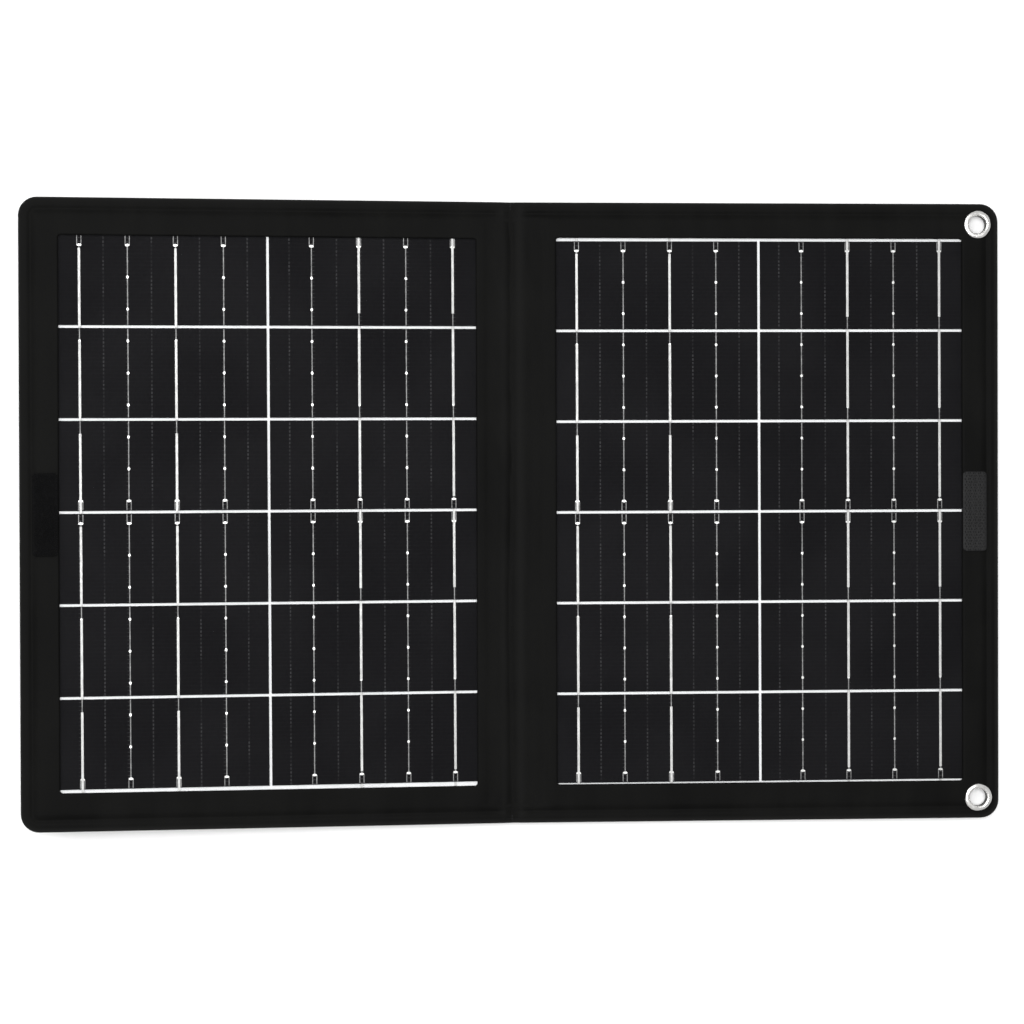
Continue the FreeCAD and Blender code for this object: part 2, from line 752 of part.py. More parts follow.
def terminal_holes(body, side, top, depth):
    """Holes for the terminal pins through one of the layers behind the cells."""
    holes = new_sketch(body, body.Name + "_holes", level=top)
    for pin in terminal_pins(side):
        circle(holes, across(side, pin), LEAD_ROW, "pin_radius + pin_clearance")
    pocket(body, holes, depth)


def lead_paths(side):
    """Plan of a wing's flat leads: from the crease side, each a list of corner places."""
    first = [(LAYER_NEAR, LEAD_ROW), (INNER_PIN, LEAD_ROW)]
    if side == RIGHT:
        second = [(LAYER_NEAR, SECOND_LEAD_ROW), (OUTER_PIN, SECOND_LEAD_ROW)]
        return [first, second + [(OUTER_PIN, LEAD_ROW)]]
    second = [(LAYER_NEAR, SECOND_LEAD_ROW), (RETURN_PIN, SECOND_LEAD_ROW)]
    supply = [(SUPPLY_PIN, LEAD_ROW), (SUPPLY_PIN, "supply_row")]
    return [first, second + [(RETURN_PIN, "supply_row")], supply]


def strip_outline(sketch, side, path, half):
    """A flat strip of constant width along a path with one square corner at most."""
    if len(path) == 2:
        (x0, y0), (x1, y1) = path
        if y0 == y1:
            sides = (across(side, x0), across(side, f"{x1} + {half}"))
            rectangle(sketch, *sides, f"{y0} - ({half})", f"{y0} + {half}")
        else:
            sides = (across(side, f"{x0} - ({half})"), across(side, f"{x0} + {half}"))
            rectangle(sketch, *sides, f"{y1} - ({half})", f"{y0} + {half}")
        return
    (x0, y0), (x1, _), (_, y2) = path
    up = number(y2) > number(y0)
    outside = f"{y0} - ({half})" if up else f"{y0} + {half}"
    inside = f"{y0} + {half}" if up else f"{y0} - ({half})"
    end = f"{y2} + {half}" if up else f"{y2} - ({half})"
    near_edge = across(side, f"{x1} - ({half})")
    far_edge = across(side, f"{x1} + {half}")
    start = across(side, x0)
    points = [
        (start, outside),
        (far_edge, outside),
        (far_edge, end),
        (near_edge, end),
        (near_edge, inside),
        (start, inside),
    ]
    outline(sketch, points)


def board(name, side):
    """The stiffener board, with channels for the flat leads in its front face."""
    body = plain_layer(f"{name}_board", side, BOARD_BASE, "board_thickness")
    channels = new_sketch(body, f"{name}_channels", level=BOARD_TOP)
    for path in lead_paths(side):
        strip_outline(channels, side, path, "lead_width / 2 + lead_play")
    pocket(body, channels, "lead_thickness + lead_play")
    if side == LEFT:
        holes = new_sketch(body, "board_supply_holes", level=BOARD_TOP)
        supply_holes(holes)
        pocket(body, holes, "board_thickness")


def leads(name, side):
    """Flat tinned leads: in the board's channels, up through the web, and their pins."""
    body = new_body(f"{name}_leads", WING_PLACE[side])
    strips = new_sketch(body, f"{name}_lead_strips", level=LEAD_BASE)
    for path in lead_paths(side):
        strip_outline(strips, side, path, "lead_width / 2")
    pad(body, strips, "lead_thickness")
    step_outer = f"{CAVITY_NEAR} - lead_play"
    step_inner = f"{CAVITY_NEAR} - lead_play - lead_thickness"
    near = across(side, "crease_gap")
    step = [
        (across(side, LAYER_NEAR), LEAD_BASE),
        (across(side, LAYER_NEAR), LEAD_BASE + " + lead_thickness"),
        (across(side, step_outer), LEAD_BASE + " + lead_thickness"),
        (across(side, step_outer), WEB_LEAD_BASE + " + lead_thickness"),
        (near, WEB_LEAD_BASE + " + lead_thickness"),
        (near, WEB_LEAD_BASE),
        (across(side, step_inner), WEB_LEAD_BASE),
        (across(side, step_inner), LEAD_BASE),
    ]
    for label, row in (("first", LEAD_ROW), ("second", SECOND_LEAD_ROW)):
        start = f"-({row}) - lead_width / 2"
        web = new_sketch(body, f"{name}_{label}_web_lead", "XZ_Plane", start)
        outline(web, step)
        pad(body, web, "lead_width")
    pins = new_sketch(body, f"{name}_terminal_pins", level=BOARD_TOP)
    for pin in terminal_pins(side):
        circle(pins, across(side, pin), LEAD_ROW, "pin_radius")
    pad(body, pins, f"{CELL_BASE} - ({BOARD_TOP})")
    if side == LEFT:
        supply = new_sketch(body, "supply_pins", level=LEAD_BASE)
        for pin in (RETURN_PIN, SUPPLY_PIN):
            circle(supply, across(side, pin), "supply_row", "pin_radius")
        pad(body, supply, f"{LEAD_BASE} - ({CIRCUIT_BASE})", reverse=True)


def cells(name, side):
    """Two columns of cell strips."""
    body = new_body(f"{name}_cells", matrix_place(name, side))
    strip = new_sketch(body, f"{name}_strip", level=CELL_BASE)
    left = f"-(cell_gap / 2 + {STRIP_WIDTH})"
    bottom = f"{MATRIX_HALF} - {STRIP_HEIGHT}"
    rectangle(strip, left, "-(cell_gap / 2)", bottom, MATRIX_HALF)
    one = pad(body, strip, "cell_thickness")
    rows = along(body, "Y_Axis", STRIP_PITCH, int(number("cell_rows")), True)
    repeat(body, [one], [rows, half_turn(body)])


def ribbon_pads(body, name, label, points):
    """A ribbon's side view, padded to its width about the outermost busbar."""
    middle = f"-{OUTER_BUSBAR}"
    sketch = new_sketch(body, f"{name}_{label}", "YZ_Plane", f"{middle} - ribbon_width / 2")
    outline(sketch, points)
    return pad(body, sketch, "ribbon_width")


def ribbons(name, side):
    """Ribbons from the front of each strip, through the gap, to the back of the next."""
    body = new_body(f"{name}_ribbons", matrix_place(name, side))
    front_top = f"{MATRIX_HALF} - ribbon_start"
    gap_middle = f"({MATRIX_HALF} - {STRIP_HEIGHT} - cell_gap / 2)"
    gap_upper = f"{gap_middle} + ribbon_thickness / 2"
    gap_lower = f"{gap_middle} - ribbon_thickness / 2"
    back_end = f"{gap_middle} - ribbon_reach"
    linking = ribbon_pads(
        body,
        name,
        "link",
        [
            (front_top, CELL_TOP),
            (gap_upper, CELL_TOP),
            (gap_upper, BACK_RIBBON_BASE),
            (back_end, BACK_RIBBON_BASE),
            (back_end, CELL_BASE),
            (gap_lower, CELL_BASE),
            (gap_lower, FILM_BASE),
            (front_top, FILM_BASE),
        ],
    )
    pair = along(body, "X_Axis", "2 * busbar_pitch", 2)
    links = int(number("cell_rows")) - 1
    rows = along(body, "Y_Axis", STRIP_PITCH, links, True)
    repeat(body, [linking], [pair, rows, half_turn(body)])
    last_top = f"{STRIP_HEIGHT} - {MATRIX_HALF} - ribbon_start"
    last = ribbon_pads(
        body,
        name,
        "last",
        [
            (last_top, CELL_TOP),
            (f"-{BUS_FAR}", CELL_TOP),
            (f"-{BUS_FAR}", FILM_BASE),
            (last_top, FILM_BASE),
        ],
    )
    first = ribbon_pads(
        body,
        name,
        "first",
        [
            (BUS_FAR, BACK_RIBBON_BASE),
            (BUS_FAR, CELL_BASE),
            (f"{MATRIX_HALF} - ribbon_reach", CELL_BASE),
            (f"{MATRIX_HALF} - ribbon_reach", BACK_RIBBON_BASE),
        ],
    )
    repeat(body, [last, first], [pair, half_turn(body)])


def bus_strips(name, side):
    """The long strip across the foot of both columns and the two terminals on top."""
    body = new_body(f"{name}_bus_strips", matrix_place(name, side))
    sketch = new_sketch(body, f"{name}_bus", level=CELL_BASE)
    rectangle(sketch, f"-{BUS_OUTER_END}", BUS_OUTER_END, f"-{BUS_FAR}", f"-{BUS_NEAR}")
    rectangle(sketch, f"-{BUS_OUTER_END}", f"-{BUS_INNER_END}", BUS_NEAR, BUS_FAR)
    rectangle(sketch, BUS_INNER_END, BUS_OUTER_END, BUS_NEAR, BUS_FAR)
    pad(body, sketch, "cell_thickness")


# Fittings on the covers


def eyelet(name, sign):
    """A pressed eyelet: bead on the front, barrel, and the curl that holds the washer."""
    place = moved(number(EYELET_X), sign * number(EYELET_Y))
    body = new_body(name, place)
    washer_base = RIM_BASE + " - washer_thickness"
    curl_base = washer_base + " - eyelet_curl"
    crown = FRONT_TOP + " + eyelet_bead"
    curl_reach = EYELET_BARREL + " + eyelet_curl_reach"
    profile = new_sketch(body, name + "_section", "XZ_Plane")
    outline(
        profile,
        [
            ("eyelet_bore", curl_base),
            (curl_reach, curl_base),
            (curl_reach, washer_base),
            (EYELET_BARREL, washer_base),
            (EYELET_BARREL, FRONT_TOP),
            (EYELET_FLANGE, FRONT_TOP),
            (EYELET_FLANGE, crown),
            ("eyelet_bore", crown),
        ],
    )
    turned = body.newObject("PartDesign::Revolution", name + "_turned")
    turned.Profile = profile
    turned.ReferenceAxis = (profile, ["V_Axis"])
    turned.Angle = 360.0
    document.recompute()
    top = number(crown)
    bore = number("eyelet_bore")
    dress(body, "Fillet", "eyelet_bead_inner_round", ring_at(top, bore))
    flange = number(EYELET_FLANGE)
    dress(body, "Fillet", "eyelet_bead_outer_round", ring_at(top, flange))


def washer(name, sign):
    """The flat washer under an eyelet's curl."""
    place = moved(number(EYELET_X), sign * number(EYELET_Y))
    body = new_body(name, place)
    ring = new_sketch(body, name + "_ring", level=RIM_BASE)
    circle(ring, "0", "0", EYELET_HOLE + " + washer_width")
    circle(ring, "0", "0", EYELET_HOLE)
    pad(body, ring, "washer_thickness", reverse=True)


def patch(name, wing, side):
    """One half of the closure, midway between the wing's rim and its window."""
    body = new_body(name, WING_PLACE[side])
    sketch = new_sketch(body, name + "_outline", level=FRONT_TOP)
    middle = f"wing_width - (rim_width + window_outer - {wing}_window_shift) / 2"
    near = f"{middle} - patch_width / 2"
    far = f"{middle} + patch_width / 2"
    wing_rectangle(sketch, side, near, far, "patch_length / 2")
    pad(body, sketch, "patch_thickness")
    corners = [
        (side * number(x), sign * number("patch_length / 2"))
        for x in (near, far)
        for sign in (1, -1)
    ]
    dress(body, "Fillet", "patch_corner", upright_at(corners))


# Controller


def box_corners(inset="0"):
    """The controller outline's corners, moved in by an inset."""
    xs = [-number(f"{BOX_NEAR} + {inset}"), -number(f"{BOX_FAR} - ({inset})")]
    half = number(f"box_length / 2 - ({inset})")
    return [(x, y) for x in xs for y in (half, -half)]


def boss_circles(sketch, radius):
    """A circle of a radius at each of the controller's four screws."""
    for x in (f"{BOX_NEAR} + boss_inset", f"{BOX_FAR} - boss_inset"):
        for sign in ("", "-"):
            circle(sketch, across(LEFT, x), sign + "(box_length / 2 - boss_inset)", radius)


def controller_base():
    """The plate bonded to the back cover, with shouldered screw bosses."""
    body = new_body("controller_base", TILTED)
    plate = new_sketch(body, "base_outline")
    wing_rectangle(plate, LEFT, BOX_NEAR, BOX_FAR, "box_length / 2")
    pad(body, plate, "box_wall", reverse=True)
    dress(body, "Fillet", "box_corner", upright_at(box_corners()))
    shoulder = new_sketch(body, "base_shoulders", level="-box_wall")
    boss_circles(shoulder, "boss_radius + boss_shoulder")
    pad(body, shoulder, f"-box_wall - {CIRCUIT_TOP}", reverse=True)
    boss = new_sketch(body, "base_bosses", level=CIRCUIT_TOP)
    boss_circles(boss, "boss_radius")
    pad(body, boss, f"{CIRCUIT_TOP} - {LID_FLOOR}", reverse=True)
    bores = new_sketch(body, "base_bores", level=LID_FLOOR)
    boss_circles(bores, SCREW_HOLE)
    pocket(body, bores, f"-{LID_FLOOR} - box_wall / 2", reverse=True)
    holes = new_sketch(body, "base_supply_holes")
    supply_holes(holes)
    pocket(body, holes, "box_wall")


def controller_lid():
    """The cover of the controller, with openings for its sockets, light and screws."""
    body = new_body("controller_lid", TILTED)
    block = new_sketch(body, "lid_outline", level="-box_wall")
    wing_rectangle(block, LEFT, BOX_NEAR, BOX_FAR, "box_length / 2")
    pad(body, block, f"{BOX_HEIGHT} - box_wall", reverse=True)
    dress(body, "Fillet", "box_corner", upright_at(box_corners()))
    dress(body, "Fillet", "box_edge_round", level_at(-number(BOX_HEIGHT)))
    hollow = new_sketch(body, "lid_hollow", level="-box_wall")
    sides = (f"{BOX_NEAR} + box_wall", f"{BOX_FAR} - box_wall")
    wing_rectangle(hollow, LEFT, *sides, "(box_length / 2 - box_wall)")
    pocket(body, hollow, f"-box_wall - {LID_FLOOR}")
    dress(body, "Fillet", "box_corner - box_wall", upright_at(box_corners("box_wall")))
    openings = new_sketch(body, "lid_socket_openings", "YZ_Plane", f"-{BOX_FAR}")
    for kind, centre in SOCKETS.items():
        corner = f"{kind}_corner + socket_clearance"
        socket_outline(openings, kind, centre, "-socket_clearance", corner)
    pocket(body, openings, "box_wall", reverse=True)
    holes = new_sketch(body, "lid_screw_holes", level=LID_FLOOR)
    boss_circles(holes, SCREW_HOLE)
    pocket(body, holes, "box_wall")
    rim = ring_at(-number(BOX_HEIGHT), number(SCREW_HOLE))
    dress(body, "Chamfer", "screw_head_radius - screw_radius", rim)
    light = new_sketch(body, "lid_light_hole", level=LID_FLOOR)
    light_radius = "light_radius + light_clearance"
    circle(light, across(LEFT, LIGHT_X), "-light_across", light_radius)
    pocket(body, light, "box_wall")


def lid_screws():
    """Four countersunk screws with cross recesses."""
    corner_x = -number(f"{BOX_NEAR} + boss_inset")
    corner_y = number("box_length / 2 - boss_inset")
    place = TILTED * moved(corner_x, -corner_y, -number(BOX_HEIGHT))
    body = new_body("lid_screws", place)
    profile = new_sketch(body, "screw_section", "XZ_Plane")
    outline(
        profile,
        [
            ("0", "0"),
            ("screw_head_radius", "0"),
            ("screw_radius", "screw_head_height"),
            ("screw_radius", "screw_length - screw_radius"),
            ("screw_radius / 2", "screw_length"),
            ("0", "screw_length"),
        ],
    )
    turned = body.newObject("PartDesign::Revolution", "screw_turned")
    turned.Profile = profile
    turned.ReferenceAxis = (profile, ["V_Axis"])
    turned.Angle = 360.0
    document.recompute()
    cross = new_sketch(body, "screw_cross")
    arm = "screw_recess_length / 2"
    web = "screw_recess_width / 2"
    outline(
        cross,
        [
            (arm, "-" + web),
            (arm, web),
            (web, web),
            (web, arm),
            ("-" + web, arm),
            ("-" + web, web),
            ("-" + arm, web),
            ("-" + arm, "-" + web),
            ("-" + web, "-" + web),
            ("-" + web, "-" + arm),
            (web, "-" + arm),
            (web, "-" + web),
        ],
    )
    recess = pocket(body, cross, "screw_recess_depth", reverse=True)
    columns = along(body, "X_Axis", "box_width - 2 * boss_inset", 2, True)
    rows = along(body, "Y_Axis", "box_length - 2 * boss_inset", 2)
    repeat(body, [turned, recess], [columns, rows])


def circuit_board():
    """The circuit board: it rests on the bosses' shoulders, cut out round its sockets."""
    body = new_body("circuit_board", TILTED)
    plate = new_sketch(body, "circuit_outline", level=CIRCUIT_TOP)
    inset = "box_wall + board_edge_clearance"
    far = f"{BOX_FAR} - ({inset})"
    near = f"{BOX_NEAR} + {inset}"
    wing_rectangle(plate, LEFT, near, far, f"(box_length / 2 - ({inset}))")
    pad(body, plate, "circuit_thickness", reverse=True)
    dress(body, "Fillet", "box_corner - box_wall", upright_at(box_corners(inset)))
    cuts = new_sketch(body, "circuit_cuts", level=CIRCUIT_TOP)
    boss_circles(cuts, "boss_radius + boss_clearance")
    supply_holes(cuts)
    for kind, centre in SOCKETS.items():
        half = f"({kind}_width / 2 + socket_clearance)"
        back = f"{BOX_FAR} - socket_back - {kind}_depth - socket_clearance"
        sides = (across(LEFT, back), across(LEFT, BOX_FAR))
        rectangle(cuts, *sides, f"{centre} - {half}", f"{centre} + {half}")
    pocket(body, cuts, "circuit_thickness")


def socket_outline(sketch, kind, centre, inset, corner):
    """A socket's rounded section, moved in or out by an inset."""
    half_wide = f"({kind}_width / 2 - ({inset}))"
    half_high = f"({kind}_height / 2 - ({inset}))"
    sides = (f"{centre} - {half_wide}", f"{centre} + {half_wide}")
    low = f"{SOCKET_LEVEL} - {half_high}"
    high = f"{SOCKET_LEVEL} + {half_high}"
    rounded_rectangle(sketch, *sides, low, high, corner)


def socket(kind, centre):
    """A socket's folded metal shell, open to the outer side, and the tongue inside it."""
    mouth = f"-({BOX_FAR} - socket_back)"
    body = new_body(f"{kind}_shell", TILTED)
    block = new_sketch(body, f"{kind}_block", "YZ_Plane", mouth)
    socket_outline(block, kind, centre, "0", f"{kind}_corner")
    pad(body, block, f"{kind}_depth")
    bore = new_sketch(body, f"{kind}_bore", "YZ_Plane", mouth)
    socket_outline(bore, kind, centre, "socket_wall", f"{kind}_corner - socket_wall")
    pocket(body, bore, f"{kind}_depth - socket_wall", reverse=True)
    tongue = new_body(f"{kind}_tongue", TILTED)
    rise = "usb_a_tongue_rise" if kind == "usb_a" else "0"
    start = f"-({BOX_FAR} - socket_back - {kind}_depth + socket_wall)"
    section = new_sketch(tongue, f"{kind}_tongue_section", "YZ_Plane", start)
    half_wide = f"{kind}_tongue_width / 2"
    half_high = f"{kind}_tongue_height / 2"
    sides = (f"{centre} - {half_wide}", f"{centre} + {half_wide}")
    level = f"{SOCKET_LEVEL} + {rise}"
    rectangle(section, *sides, f"{level} - {half_high}", f"{level} + {half_high}")
    pad(tongue, section, f"{kind}_tongue_depth", reverse=True)


def component(name):
    """A moulded part soldered to the lid side of the circuit board."""
    body = new_body(name, TILTED)
    sketch = new_sketch(body, name + "_outline", level=CIRCUIT_BASE)
    near = across(LEFT, f"{BOX_NEAR} + {name}_near")
    far = across(LEFT, f"{BOX_NEAR} + {name}_near + {name}_length")
    low = f"{name}_middle - {name}_width / 2"
    high = f"{name}_middle + {name}_width / 2"
    rectangle(sketch, near, far, low, high)
    pad(body, sketch, f"{name}_height", reverse=True)


def light_lens():
    """The clear lens of the charging light, held by a flange inside the lid."""
    body = new_body("light_lens", TILTED)
    flange = new_sketch(body, "lens_flange", level=LID_FLOOR)
    circle(flange, across(LEFT, LIGHT_X), "-light_across", "light_flange")
    pad(body, flange, "light_flange_height")
    stem = new_sketch(body, "lens_stem", level=LID_FLOOR)
    circle(stem, across(LEFT, LIGHT_X), "-light_across", "light_radius")
    pad(body, stem, "box_wall", reverse=True)


for wing, wing_side in WINGS.items():
    front_cover(wing, wing_side)
    back_cover(wing, wing_side)
    board(wing, wing_side)
    sheets = (
        ("backsheet", BOARD_TOP, "backsheet_thickness"),
        ("encapsulant", ENCAPSULANT_BASE, "encapsulant_thickness"),
    )
    for sheet_name, sheet_base, sheet_thickness in sheets:
        node = f"{wing}_{sheet_name}"
        layer = plain_layer(node, wing_side, sheet_base, sheet_thickness)
        sheet_top = f"{sheet_base} + {sheet_thickness}"
        terminal_holes(layer, wing_side, sheet_top, sheet_thickness)
    cells(wing, wing_side)
    ribbons(wing, wing_side)
    bus_strips(wing, wing_side)
    plain_layer(f"{wing}_film", wing_side, FILM_BASE, "film_thickness")
    leads(wing, wing_side)

for corner, corner_sign in (("upper", 1), ("lower", -1)):
    eyelet(f"{corner}_eyelet", corner_sign)
    washer(f"{corner}_washer", corner_sign)
patch("hook_patch", "right", RIGHT)
patch("loop_patch", "left", LEFT)

controller_base()
controller_lid()
lid_screws()
circuit_board()
for socket_kind, socket_centre in SOCKETS.items():
    socket(socket_kind, socket_centre)
for component_name in COMPONENTS:
    component(component_name)
light_lens()

document.recompute()
for item in document.Objects:
    if "Invalid" in item.State or "Error" in item.State:
        raise RuntimeError(f"{item.Name} failed: {item.State} {item.getStatusString()}")
for node in nodes:
    if node.Shape.isNull() or not node.Shape.isValid():
        raise RuntimeError(f"{node.Label} has no valid shape")
    node.Shape.exportStep(os.path.join("parts", node.Label + ".step"))
    print(f"{node.Label:22} {len(node.Shape.Solids)} solids {node.Shape.Volume:12.2f} mm3")
print(f"rest tilt {REST_TILT:.4f} degrees, fold axis {fold_height:.3f} mm up")
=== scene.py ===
"""A two-wing folding solar panel in a soft cover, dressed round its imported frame.

Lengths are millimetres in the panel's flat pattern unless a name says otherwise: x from the
crease, y along it and z up from the back face of a flat wing. `Fold` takes the pattern to
the way the panel lies at rest, and `Stock` hands the result to Blender in metres.
"""

import json
import logging
import math
from dataclasses import dataclass, field
from enum import Enum
from functools import partial
from typing import Callable, Iterable, Sequence, Union

import bmesh
import bpy
import numpy as np
from mathutils import Euler, Matrix, Vector
from mathutils.geometry import delaunay_2d_cdt


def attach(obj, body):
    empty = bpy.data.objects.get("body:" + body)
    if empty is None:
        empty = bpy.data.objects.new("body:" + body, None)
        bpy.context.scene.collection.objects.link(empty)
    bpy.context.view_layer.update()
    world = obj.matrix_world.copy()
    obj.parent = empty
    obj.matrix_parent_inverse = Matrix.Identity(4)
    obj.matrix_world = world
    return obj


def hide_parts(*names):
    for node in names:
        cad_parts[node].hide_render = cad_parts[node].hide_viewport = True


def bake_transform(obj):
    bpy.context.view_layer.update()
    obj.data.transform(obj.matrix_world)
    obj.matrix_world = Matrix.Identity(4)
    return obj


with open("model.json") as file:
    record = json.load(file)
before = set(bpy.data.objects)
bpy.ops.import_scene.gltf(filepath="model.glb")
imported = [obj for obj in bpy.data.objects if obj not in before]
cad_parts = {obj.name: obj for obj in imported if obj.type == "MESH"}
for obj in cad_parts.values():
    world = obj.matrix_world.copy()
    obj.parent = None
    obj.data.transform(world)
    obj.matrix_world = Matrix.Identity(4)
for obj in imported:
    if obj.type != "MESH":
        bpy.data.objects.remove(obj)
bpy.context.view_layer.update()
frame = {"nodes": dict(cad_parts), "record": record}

log = logging.getLogger("solar_panel")
MM = 0.001
FLAT_MAP = "flat"
WEAR = "wear"
Colour = tuple[float, float, float]
Socket = bpy.types.NodeSocket
Value = Union[Socket, float]
Map = Callable[[np.ndarray], np.ndarray]


class Wing(Enum):
    """One wing of the panel, by the sign of its x."""

    RIGHT = 1
    LEFT = -1

    @property
    def key(self) -> str:
        """The word that starts the wing's node names."""
        return self.name.lower()

    @property
    def body(self) -> str:
        """The body that the wing's pieces ride on."""
        return f"{self.key}_wing"


class Coordinates(Enum):
    """Where a finish takes its place on a piece from."""

    PATTERN = "pattern"
    NODE = "node"


@dataclass(frozen=True)
class Fold:
    """The hinge line between the wings, and how the soft cover turns round it."""

    height: float
    rest_tilt: float
    reach: float = 7.0

    @classmethod
    def of_record(cls) -> "Fold":
        """The fold as the record's one joint gives it."""
        joint = frame["record"]["behaviour"]["joints"][0]
        return cls(joint["pos_m"][2] / MM, math.radians(-joint["range_deg"][0]))

    def turned(self, points: np.ndarray, angle: Union[float, np.ndarray]) -> np.ndarray:
        """Points turned about the hinge line.

        Args:
            points: An array of places, one a row.
            angle: Radians, one for all the points or one each.

        Returns:
            The turned places.
        """
        x, z = points[:, 0], points[:, 2] - self.height
        cos, sin = np.cos(angle), np.sin(angle)
        return np.stack([x * cos + z * sin, points[:, 1], z * cos - x * sin + self.height], 1)

    def soft(self, points: np.ndarray) -> np.ndarray:
        """Bends a soft piece to lie as it does at rest.

        Args:
            points: Its flat places, one a row.

        Returns:
            Its places at rest.
        """
        share = np.clip((self.reach - points[:, 0]) / (2 * self.reach), 0, 1)
        return self.turned(points, self.rest_tilt * share * share * (3 - 2 * share))

    def rigid(self, points: np.ndarray, wing: Wing) -> np.ndarray:
        """Flat places of a stiff piece on a wing, as it lies at rest."""
        return self.turned(points, self.rest_tilt) if wing is Wing.LEFT else points

    def flat(self, points: np.ndarray, wing: Wing) -> np.ndarray:
        """Places at rest, taken back to the flat pattern."""
        return self.turned(points, -self.rest_tilt) if wing is Wing.LEFT else points

    def laid(self, wing: Wing) -> Map:
        """What takes the flat places of a wing's stiff pieces to their places at rest."""
        return partial(self.rigid, wing=wing)

    def hang(self, piece: bpy.types.Object) -> None:
        """Bakes a soft piece's placing into its mesh."""
        Wing.RIGHT.body
        Wing.LEFT.body
        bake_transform(piece)


FOLD = Fold.of_record()


def node_points(node: str, wing: Wing) -> np.ndarray:
    """Reads a frame node's mesh.

    Args:
        node: The node's name.
        wing: The wing that it is on.

    Returns:
        Its corners in the flat pattern, one a row.
    """
    mesh = frame["nodes"][node].data
    points = np.empty(len(mesh.vertices) * 3)
    mesh.vertices.foreach_get("co", points)
    return FOLD.flat(points.reshape(-1, 3) / MM, wing)


@dataclass(frozen=True)
class Extent:
    """Lowest and highest corner of a node in the flat pattern."""

    low: np.ndarray
    high: np.ndarray

    @classmethod
    def of_node(cls, node: str, wing: Wing = Wing.RIGHT) -> "Extent":
        """The extent of a frame node."""
        points = node_points(node, wing)
        return cls(points.min(0), points.max(0))

    @property
    def centre(self) -> np.ndarray:
        """The middle of the extent."""
        return (self.low + self.high) / 2

    @property
    def size(self) -> np.ndarray:
        """The extent's three sides."""
        return self.high - self.low


# ---------------------------------------------------------------- shaders


